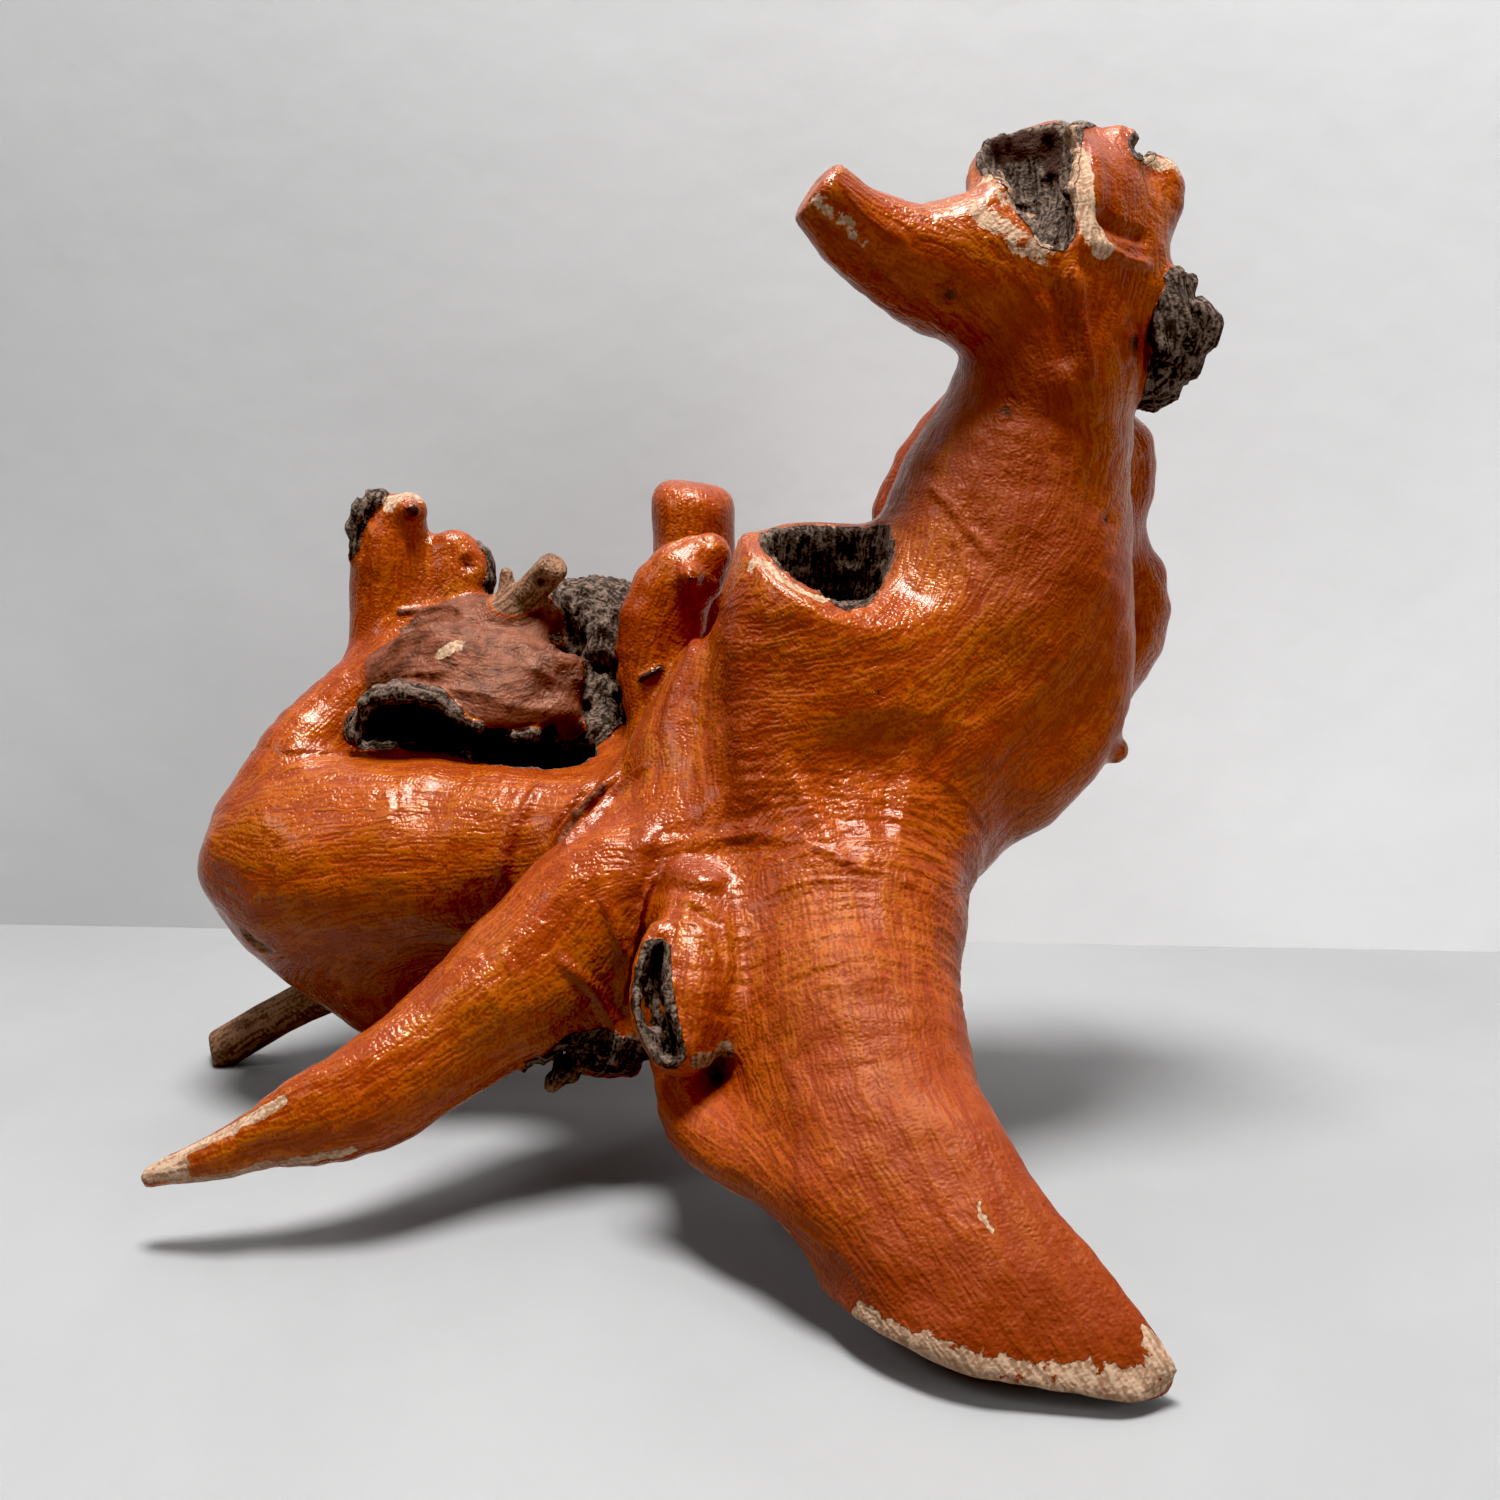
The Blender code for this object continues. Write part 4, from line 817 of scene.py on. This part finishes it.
# The lift of every point in centimetres, into the wood, and the finishes painted by the marks, knots and wrinkles
def reliefAndPaint(points, normals, distances, shares, seen):
    lift = np.zeros(len(points), np.float32)
    for name, mark in marks.items():
        near = nearBox(points, seen[name], mark["width"] * 2)
        away, share = lineDistance(points[near], seen[name])
        ends = 1.0 if len(mark["seen"]) == 2 else np.minimum(1, 6 * share * (1 - share) + 0.25)
        lift[near] += mark.get("lift", 0) * hump(away, mark["width"]) * ends
        # Glaze paint is partly real glaze and partly painted shade; it reaches further out, as wear does
        if "paint" in mark:
            paint = shares[mark["paint"]]
            reach = 1.6 if mark["paint"] in ("glazeAndShade", "worn") else 1.0
            strength = mark.get("strength", 0.7 if mark["paint"] == "glazeAndShade" else 1.0)
            fade = eased(0.45, reach, away / mark["width"])
            paint[near] = np.maximum(paint[near], strength * (1 - fade))
    healthy = 1 - np.maximum(shares["rot"], shares["dull"])
    for knot, place in ((knots[name], seen[name]) for name in knots):
        away = np.linalg.norm(points - place, axis=1)
        lift += knot["lift"] * hump(away, knot["radius"] * 1.5)
        lift += 0.06 * hump(away - knot["radius"] * 1.3, knot["radius"] * 0.5)
        shares["dark"] = np.maximum(shares["dark"], knot["dark"] * (1 - eased(0.3, 1.1, away / knot["radius"])))
        shares["glazeAndShade"] = np.maximum(shares["glazeAndShade"], 0.6 * (1 - eased(0.8, 2.6, away / knot["radius"])))
    for ring in ringWrinkles.values():
        route = smoothRoute(limbs[ring["limb"]]["route"])[:, :3]
        length = np.linalg.norm(np.diff(route, axis=0), axis=1).sum()
        share = lineDistance(points, route)[1]
        start, finish = ring["cover"]
        fade = eased(start, start + 0.05, share) * (1 - eased(finish - 0.05, finish, share))
        mine = list(limbs).index(ring["limb"])
        fade *= 1 - eased(0.3, 1.4, distances[:, mine])
        turn = share * length / ring["spacing"] + ring["waver"] * crumb(points, 2.1) + 0.3 * crumb(points, 0.9)
        strength = np.clip(0.65 + 0.6 * crumb(points, 1.7), 0.1, 1)
        lift -= ring["depth"] * fade * healthy * strength * (0.5 + 0.5 * np.cos(2 * np.pi * turn)) ** 2
    for size, height in lumps:
        lift += height * healthy * crumb(points, size)
    rotten = np.flatnonzero(shares["rot"] > 0.02)
    rot, there = shares["rot"][rotten], points[rotten]
    lift[rotten] -= 0.22 * rot * (1 - np.abs(crumb(there, 0.55, (1, 1, 2.6)))) ** 3
    lift[rotten] += 0.09 * rot * crumb(there, 0.32, (1, 1, 2.0))
    crusty = np.flatnonzero(shares["crust"] * (1 - shares["rot"]) > 0.02)
    crust, there = (shares["crust"] * (1 - shares["rot"]))[crusty], points[crusty]
    lift[crusty] += crust * (0.08 * crumb(there, 1.1) - 0.16 * (1 - np.abs(crumb(there, 1.3, (1.8, 1, 1)))) ** 5)
    return lift


# The finished root: drawn, raised, thinned to its triangles, and with its finishes as point attributes
def makeRoot():
    points, quads = rootSurface()
    print("surface drawn", len(points), "points", len(quads), "quads", round(time.time() - started, 1))
    tree = BVHTree.FromPolygons(points.tolist(), quads.tolist())
    seen = {name: np.array([seenPlace(tree, pixel) for pixel in mark["seen"]]) for name, mark in marks.items()}
    seen |= {name: seenPlace(tree, knot["seen"]) for name, knot in knots.items()}
    seen |= {name: np.array([seenPlace(tree, p) for p in line]) for name, line in grainGuides.items()}
    normals = pointNormals(points, quads)
    print("marks laid", round(time.time() - started, 1))
    flow = inParts(limbFlow, points)
    print("flow", round(time.time() - started, 1))
    distances, grain = flow[:, :-3], flow[:, -3:]
    shares = finishShares(points, distances)
    lift = reliefAndPaint(points, normals, distances, shares, seen)
    raised = points + normals * lift[:, None]
    raised[:, 2] = np.maximum(raised[:, 2], 0)
    grain = turnedGrain(raised, normals, guidedGrain(points, grain, seen), seen)
    # Painted shade: shares from the distance to the wood a reach off each point, for darkening the colour in creases
    # and valleys
    for name, reach in shadeReach.items():
        clear = inParts(rootDistance, raised + normals * reach) / reach
        shares[name] = 1 - eased(0.2, 0.85, clear)
    print("relief raised", round(time.time() - started, 1))

    mesh = bpy.data.meshes.new("rootDrawn")
    placed = (raised + drawing["centring"]) * drawing["unit"]
    mesh.from_pydata(placed.tolist(), [], quads[:, ::-1].tolist())  # turned to face out
    for name, values in shares.items():
        mesh.attributes.new(name, "FLOAT", "POINT").data.foreach_set("value", values.astype(np.float32))
    mesh.attributes.new("grain", "FLOAT_VECTOR", "POINT").data.foreach_set("vector", grain.ravel())
    mesh.polygons.foreach_set("use_smooth", np.ones(len(quads), bool))
    drawn = bpy.data.objects.new("rootDrawn", mesh)
    scene.collection.objects.link(drawn)
    fewer = drawn.modifiers.new("fewerTriangles", "DECIMATE")
    fewer.ratio = min(1.0, surfaceGrid["trianglesKept"] / (2 * len(quads)))
    finished = bpy.data.meshes.new_from_object(drawn.evaluated_get(bpy.context.evaluated_depsgraph_get()))
    bpy.data.objects.remove(drawn)
    bpy.data.meshes.remove(mesh)
    finished.name = "lacqueredRoot"
    root = bpy.data.objects.new("lacqueredRoot", finished)
    scene.collection.objects.link(root)
    print("root finished", len(finished.polygons), "triangles", round(time.time() - started, 1))
    return root


# Shader helpers: a node with its settings and sockets, and its first output where only that is wanted
def addNode(tree, kind, sockets=None, **settings):
    node = tree.nodes.new("ShaderNode" + kind)
    for name, value in settings.items():
        setattr(node, name, value)
    for name, value in (sockets or {}).items():
        if isinstance(value, bpy.types.NodeSocket):
            tree.links.new(value, node.inputs[name])
        else:
            node.inputs[name].default_value = value
    return node


def maths(tree, operation, a, b=0.0, clamp=False):
    return addNode(tree, "Math", {0: a, 1: b}, operation=operation, use_clamp=clamp).outputs[0]


def noise(tree, place, scale, detail=2.0, roughness=0.5):
    sockets = {"Vector": place, "Scale": scale, "Detail": detail, "Roughness": roughness}
    return addNode(tree, "TexNoise", sockets).outputs[0]


def ranged(tree, value, low, high, start=0.0, finish=1.0):
    sockets = {"Value": value, "From Min": low, "From Max": high, "To Min": start, "To Max": finish}
    return addNode(tree, "MapRange", sockets, interpolation_type="SMOOTHSTEP").outputs[0]


def mixed(tree, share, a, b, blend="MIX"):
    return addNode(tree, "Mix", {0: share, 6: a, 7: b}, data_type="RGBA", blend_type=blend).outputs[2]


def colour(red, green, blue):
    return (red, green, blue, 1.0)


def attribute(tree, name, output="Fac"):
    return addNode(tree, "Attribute", attribute_name=name).outputs[output]


# Streaks along a direction: the mean of noise at uneven steps along it (even ones would show as a weave),
# stretched in contrast
def makeStreaksGroup():
    group = bpy.data.node_groups.new("grainStreaks", "ShaderNodeTree")
    for name, kind in (("Place", "NodeSocketVector"), ("Direction", "NodeSocketVector"),
                       ("Fineness", "NodeSocketFloat"), ("Reach", "NodeSocketFloat")):
        group.interface.new_socket(name, in_out="INPUT", socket_type=kind)
    group.interface.new_socket("Streak", in_out="OUTPUT", socket_type="NodeSocketFloat")
    given = group.nodes.new("NodeGroupInput")
    total = None
    for step in streakSteps:
        reach = maths(group, "MULTIPLY", given.outputs["Reach"], step)
        along = addNode(group, "VectorMath", {0: given.outputs["Direction"], "Scale": reach}, operation="SCALE")
        place = addNode(group, "VectorMath", {0: given.outputs["Place"], 1: along.outputs[0]}, operation="ADD")
        value = noise(group, place.outputs[0], given.outputs["Fineness"], 0.0)
        total = value if total is None else maths(group, "ADD", total, value)
    mean = maths(group, "MULTIPLY", total, 1 / len(streakSteps))
    given_back = group.nodes.new("NodeGroupOutput")
    group.links.new(ranged(group, mean, 0.41, 0.59), given_back.inputs["Streak"])
    return group


# A mask whose edge is broken up by noise: it turns from 0 to 1 where mask + amount (noise - 1/2) passes 1/2
def makeBrokenEdgeGroup():
    group = bpy.data.node_groups.new("brokenEdge", "ShaderNodeTree")
    for name, kind in (("Mask", "NodeSocketFloat"), ("Place", "NodeSocketVector"), ("Scale", "NodeSocketFloat"),
                       ("Amount", "NodeSocketFloat"), ("Softness", "NodeSocketFloat")):
        group.interface.new_socket(name, in_out="INPUT", socket_type=kind)
    group.interface.new_socket("Mask", in_out="OUTPUT", socket_type="NodeSocketFloat")
    given = group.nodes.new("NodeGroupInput")
    wander = maths(group, "SUBTRACT", noise(group, given.outputs["Place"], given.outputs["Scale"], 4.0, 0.6), 0.5)
    moved = maths(group, "ADD", given.outputs["Mask"], maths(group, "MULTIPLY", wander, given.outputs["Amount"]))
    low = maths(group, "SUBTRACT", 0.5, given.outputs["Softness"])
    high = maths(group, "ADD", 0.5, given.outputs["Softness"])
    given_back = group.nodes.new("NodeGroupOutput")
    group.links.new(ranged(group, moved, low, high), given_back.inputs["Mask"])
    return group


def useGroup(tree, group, **sockets):
    node = tree.nodes.new("ShaderNodeGroup")
    node.node_tree = group
    for name, value in sockets.items():
        if isinstance(value, bpy.types.NodeSocket):
            tree.links.new(value, node.inputs[name])
        else:
            node.inputs[name].default_value = value
    return node.outputs[0]


# Centimetres into the wood at which a thin edge, and a broader one, is told from thick wood: both shares are 1
# over nearly all of the root, and fall where the wood is thinner than that
# These shares are painted shade: the wood's colour, and the rot's, is darkened by them in creases and valleys
shadeReach = {"creaseShade": 1.0, "valleyShade": 3.2}
streakSteps = (-1.0, -0.80, -0.52, -0.33, -0.05, 0.14, 0.45, 0.62, 0.93)

# The wood's colours, linear, and how its grain, ripples and gloss go; lengths in centimetres
woodFinish = {
    "amber": colour(0.98, 0.325, 0.016),
    "orange": colour(0.95, 0.225, 0.010),
    "red": colour(0.66, 0.100, 0.008),
    "streak": colour(0.26, 0.040, 0.004),
    # the colour of glaze, and of painted shade
    "glazeAndShade": colour(0.14, 0.020, 0.006),
    "knot": colour(0.024, 0.010, 0.008),
    "bareLight": colour(0.40, 0.27, 0.18),
    "bareDark": colour(0.22, 0.12, 0.07),
    "crustLight": colour(0.125, 0.038, 0.020),
    "crustDark": colour(0.050, 0.013, 0.007),
    "rotLight": colour(0.150, 0.105, 0.082),
    "rotDark": colour(0.016, 0.012, 0.010),
    "dullLight": colour(0.200, 0.105, 0.060),
    "dullDark": colour(0.075, 0.038, 0.023),
    "patchScale": 0.16,
    "streakFineness": 7.0,
    "streakReach": 0.6,
    "streakWander": 0.9,
    "bandFineness": 1.5,
    "bandReach": 1.5,
    "pebbleScale": 3.2,
    "roughness": 0.27,
    "sheenTint": colour(1.0, 0.6, 0.4),
    "relief": 0.00075,  # metres of bump at its highest
}


def makeWood():
    finish = woodFinish
    material = bpy.data.materials.new("lacqueredWood")
    material.use_nodes = True
    tree = material.node_tree
    shader = tree.nodes["Principled BSDF"]
    streaks, edge = makeStreaksGroup(), makeBrokenEdgeGroup()

    metres = addNode(tree, "TexCoord").outputs["Object"]
    place = addNode(tree, "VectorMath", {0: metres, "Scale": 1 / drawing["unit"]}, operation="SCALE").outputs[0]
    grain = attribute(tree, "grain", "Vector")
    wander = addNode(tree, "TexNoise", {"Vector": place, "Scale": 1.3, "Detail": 1.0}).outputs["Color"]
    wander = addNode(tree, "VectorMath", {0: wander, 1: (0.5, 0.5, 0.5)}, operation="SUBTRACT").outputs[0]
    wander = addNode(tree, "VectorMath", {0: wander, "Scale": finish["streakWander"]}, operation="SCALE").outputs[0]
    wavy = addNode(tree, "VectorMath", {0: grain, 1: wander}, operation="ADD").outputs[0]
    fine = useGroup(tree, streaks, Place=place, Direction=wavy, Fineness=finish["streakFineness"],
                    Reach=finish["streakReach"])
    bands = useGroup(tree, streaks, Place=place, Direction=wavy, Fineness=finish["bandFineness"],
                     Reach=finish["bandReach"])
    patches = noise(tree, place, finish["patchScale"], 3.0, 0.55)
    cloud = noise(tree, place, finish["patchScale"] * 5, 2.0)
    pebble = noise(tree, place, finish["pebbleScale"], 2.0)

    def masked(name, scale, amount, softness):
        return useGroup(tree, edge, Mask=attribute(tree, name), Place=place, Scale=scale, Amount=amount,
                        Softness=softness)

    rot = masked("rot", 2.2, 0.9, 0.10)
    bare = masked("bare", 2.2, 1.8, 0.06)
    crust = masked("crust", 1.4, 0.6, 0.16)
    dull = masked("dull", 2.0, 0.5, 0.14)
    # Glaze: darkened lacquer round knots and on two limbs, and painted shade where the marks lay it
    glazeAndShade = masked("glazeAndShade", 1.2, 0.5, 0.45)
    dark = masked("dark", 3.0, 0.4, 0.30)
    creaseShade = attribute(tree, "creaseShade")

    # Healthy wood: amber, orange and red in patches, darkened by hair-fine streaks, and towards the glaze colour by
    # painted shade in creases and valleys and by glaze, which is itself partly painted shade
    warm = mixed(tree, ranged(tree, patches, 0.38, 0.60), finish["amber"], finish["orange"])
    warm = mixed(tree, ranged(tree, patches, 0.58, 0.75), warm, finish["red"])
    warm = mixed(tree, ranged(tree, cloud, 0.52, 0.75, 0.0, 0.45), warm, finish["red"])
    warm = mixed(tree, ranged(tree, bands, 0.35, 0.95, 0.0, 0.6), warm, finish["red"])
    warm = mixed(tree, ranged(tree, fine, 0.3, 0.9, 0.0, 0.8), warm, finish["streak"])
    warm = mixed(tree, ranged(tree, bands, 0.6, 1.0, 0.0, 0.45), warm, finish["streak"])
    # Painted shade in valleys and creases
    warm = mixed(tree, maths(tree, "MULTIPLY", attribute(tree, "valleyShade"), 0.5), warm, finish["glazeAndShade"])
    warm = mixed(tree, maths(tree, "MULTIPLY", creaseShade, 0.75), warm, finish["glazeAndShade"])
    warm = mixed(tree, maths(tree, "MULTIPLY", glazeAndShade, 0.8), warm, finish["glazeAndShade"])
    speck = noise(tree, place, 1.9, 6.0, 0.62)
    crusty = mixed(tree, ranged(tree, noise(tree, place, 1.3, 5.0, 0.6), 0.35, 0.62), finish["crustDark"],
                   finish["crustLight"])
    bared = mixed(tree, fine, finish["bareLight"], finish["bareDark"])
    dulled = mixed(tree, ranged(tree, maths(tree, "ADD", maths(tree, "MULTIPLY", fine, 0.5), speck), 0.5, 1.0),
                   finish["dullLight"], finish["dullDark"])
    # Painted shade: the rot is darker in creases
    speck = maths(tree, "ADD", speck, maths(tree, "MULTIPLY", creaseShade, 0.12))
    rotting = mixed(tree, ranged(tree, maths(tree, "ADD", maths(tree, "MULTIPLY", fine, 0.35), speck), 0.55, 0.95),
                    finish["rotLight"], finish["rotDark"])
    skin = mixed(tree, crust, warm, crusty)
    skin = mixed(tree, dull, skin, dulled)
    skin = mixed(tree, rot, skin, rotting)
    skin = mixed(tree, bare, skin, bared)
    # Knot-black: the knots' own colour, and painted shade in the ear slit and the head hollow's top
    skin = mixed(tree, dark, skin, finish["knot"])
    tree.links.new(skin, shader.inputs["Base Color"])

    # Gloss: lacquer is wet-looking, crust is half matt, and rot and bare wood are dry
    matt = maths(tree, "MAXIMUM", maths(tree, "MAXIMUM", rot, bare), maths(tree, "MULTIPLY", dull, 0.7))
    rough = maths(tree, "ADD", ranged(tree, cloud, 0.3, 0.7, finish["roughness"] - 0.05,
                                      finish["roughness"] + 0.08), maths(tree, "MULTIPLY", crust, 0.26))
    worn = attribute(tree, "worn")
    rough = maths(tree, "ADD", rough, maths(tree, "MULTIPLY", worn, 0.3))
    rough = addNode(tree, "Mix", {0: matt, 2: rough, 3: 0.86}, data_type="FLOAT").outputs[0]
    tree.links.new(rough, shader.inputs["Roughness"])
    uncoated = maths(tree, "MAXIMUM", maths(tree, "MAXIMUM", matt, worn), crust)
    coat = maths(tree, "MULTIPLY", maths(tree, "SUBTRACT", 1.0, uncoated), 0.1)
    tree.links.new(coat, shader.inputs["Coat Weight"])
    shader.inputs["Coat Roughness"].default_value = 0.16
    shader.inputs["Specular IOR Level"].default_value = 0.3
    shader.inputs["Specular Tint"].default_value = finish["sheenTint"]

    # Relief: fibres and broader bands along them, pebbles, and a coarse crumb where it has rotted
    fibres = maths(tree, "ADD", maths(tree, "MULTIPLY", fine, -0.30), maths(tree, "MULTIPLY", bands, -0.5))
    fibres = maths(tree, "ADD", fibres, maths(tree, "MULTIPLY", pebble, 0.5))
    coarse = maths(tree, "MULTIPLY", noise(tree, place, 4.0, 5.0, 0.65), 3.2)
    height = addNode(tree, "Mix", {0: maths(tree, "MAXIMUM", rot, maths(tree, "MULTIPLY", crust, 0.12)),
                                   2: fibres, 3: coarse}, data_type="FLOAT").outputs[0]
    height = maths(tree, "SUBTRACT", height, maths(tree, "MULTIPLY", bare, 0.35))
    bump = addNode(tree, "Bump", {"Strength": 1.0, "Distance": finish["relief"], "Height": height})
    tree.links.new(bump.outputs[0], shader.inputs["Normal"])
    return material


root = makeRoot()
root.data.materials.clear()
root.data.materials.append(makeWood())
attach(root, "root")
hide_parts("dry_root")
print("wood finished")

# The room: a pale floor and a wall with painted light and shade, and soft light from above
room = {
    "floorSize": 8.0,
    "wallAway": 0.294,  # metres behind the root's middle
    "wallTurn": -3.4,  # degrees, nearer on the right
    "floorColour": colour(0.225, 0.225, 0.225),
    "wallColour": colour(0.475, 0.475, 0.475),
    # Painted shade and light on the wall: darker at the left, lighter at the right and lighter at its foot
    "wallShade": (0.79, 1.12),  # share of the wall's colour at the left and right ends of the picture
    "wallFootLight": 1.36,  # the same at its foot
    "wallSpan": 0.45,  # metres from the wall's middle to those ends
    "world": 0.08,
    "blackLevel": 0.012,  # linear light that the picture shows as black
}

lights = {
    "skylight": dict(place=(-0.05, -0.12, 2.1), aim=(0.02, 0.0, 0.15), size=(0.78, 0.56), power=106.0),
    "leftGlow": dict(place=(-1.35, -0.65, 1.45), aim=(0.0, 0.0, 0.2), size=(0.5, 0.5), power=8.0),
    "rightFill": dict(place=(1.3, -1.1, 0.8), aim=(0.1, 0.0, 0.25), size=(0.9, 0.9), power=14.0, glossy=False),
}


# A square of two by two faces about the origin, in metres
def makeSheet(name, size, material):
    mesh = bpy.data.meshes.new(name)
    x, y = (axis.ravel() for axis in np.meshgrid(np.linspace(-size / 2, size / 2, 3), np.linspace(-size / 2, size / 2, 3)))
    corner = np.array([0, 1, 3, 4])
    quads = np.stack([corner, corner + 1, corner + 4, corner + 3], 1)
    mesh.from_pydata(np.stack([x, y, 0 * x], 1).tolist(), [], quads.tolist())
    mesh.materials.append(material)
    sheet = bpy.data.objects.new(name, mesh)
    scene.collection.objects.link(sheet)
    return sheet


# Painted concrete: a flat pale grey with faint clouds and brush marks, its colour scaled across and up by the shade
# given, which on the wall is painted light and shade
def makePaint(name, tone, clouds, openBack, shade=(1.0, 1.0, 1.0)):
    material = bpy.data.materials.new(name)
    material.use_nodes = True
    tree = material.node_tree
    shader = tree.nodes["Principled BSDF"]
    place = addNode(tree, "TexCoord").outputs["Object"]
    wash = noise(tree, place, 6.0, 5.0, 0.6)
    darker = tuple(channel * (1 - clouds) for channel in tone[:3]) + (1.0,)
    painted = mixed(tree, ranged(tree, wash, 0.35, 0.65), tone, darker)
    across = addNode(tree, "SeparateXYZ", {0: place}).outputs[0]
    height = addNode(tree, "SeparateXYZ", {0: place}).outputs[1]
    # Painted light and shade: the colour scaled across the sheet and towards its foot
    shading = ranged(tree, across, -room["wallSpan"], room["wallSpan"], *shade[:2])
    shading = maths(tree, "MULTIPLY", shading, ranged(tree, height, 0.0, room["wallSpan"], shade[2], 1.0))
    shaded = addNode(tree, "VectorMath", {0: painted, "Scale": shading}, operation="SCALE").outputs[0]
    tree.links.new(shaded, shader.inputs["Base Color"])
    shader.inputs["Roughness"].default_value = 0.55
    bump = addNode(tree, "Bump", {"Strength": 0.25, "Distance": 0.002, "Height": noise(tree, place, 25.0, 5.0)})
    tree.links.new(bump.outputs[0], shader.inputs["Normal"])
    if openBack:
        back = addNode(tree, "NewGeometry").outputs["Backfacing"]
        clear = addNode(tree, "BsdfTransparent").outputs[0]
        whole = addNode(tree, "MixShader", {0: back, 1: shader.outputs[0], 2: clear})
        tree.links.new(whole.outputs[0], tree.nodes["Material Output"].inputs["Surface"])
    return material


def makeRoom():
    makeSheet("floor", room["floorSize"], makePaint("floorPaint", room["floorColour"], 0.06, False))
    wall = makeSheet("wall", room["floorSize"], makePaint("wallPaint", room["wallColour"], 0.03, True,
                                                         (*room["wallShade"], room["wallFootLight"])))
    wall.location = (0, room["wallAway"], 0)
    wall.rotation_euler = (math.pi / 2, 0, math.radians(room["wallTurn"]))
    for name, light in lights.items():
        data = bpy.data.lights.new(name, "AREA")
        data.shape = "ELLIPSE"
        data.size, data.size_y = light["size"]
        data.energy = light["power"]
        lamp = bpy.data.objects.new(name, data)
        lamp.location = light["place"]
        away = Vector(light["place"]) - Vector(light["aim"])
        lamp.rotation_euler = away.to_track_quat("Z", "Y").to_euler()
        lamp.visible_glossy = light.get("glossy", True)
        scene.collection.objects.link(lamp)
    world = bpy.data.worlds.new("room")
    world.use_nodes = True
    world.node_tree.nodes["Background"].inputs["Color"].default_value = colour(1.0, 1.0, 1.0)
    world.node_tree.nodes["Background"].inputs["Strength"].default_value = room["world"]
    scene.world = world
    scene.view_settings.view_transform = "Standard"
    scene.view_settings.use_curve_mapping = True
    scene.view_settings.curve_mapping.black_level = [room["blackLevel"]] * 3
    scene.view_settings.curve_mapping.update()


makeRoom()
print("room made")
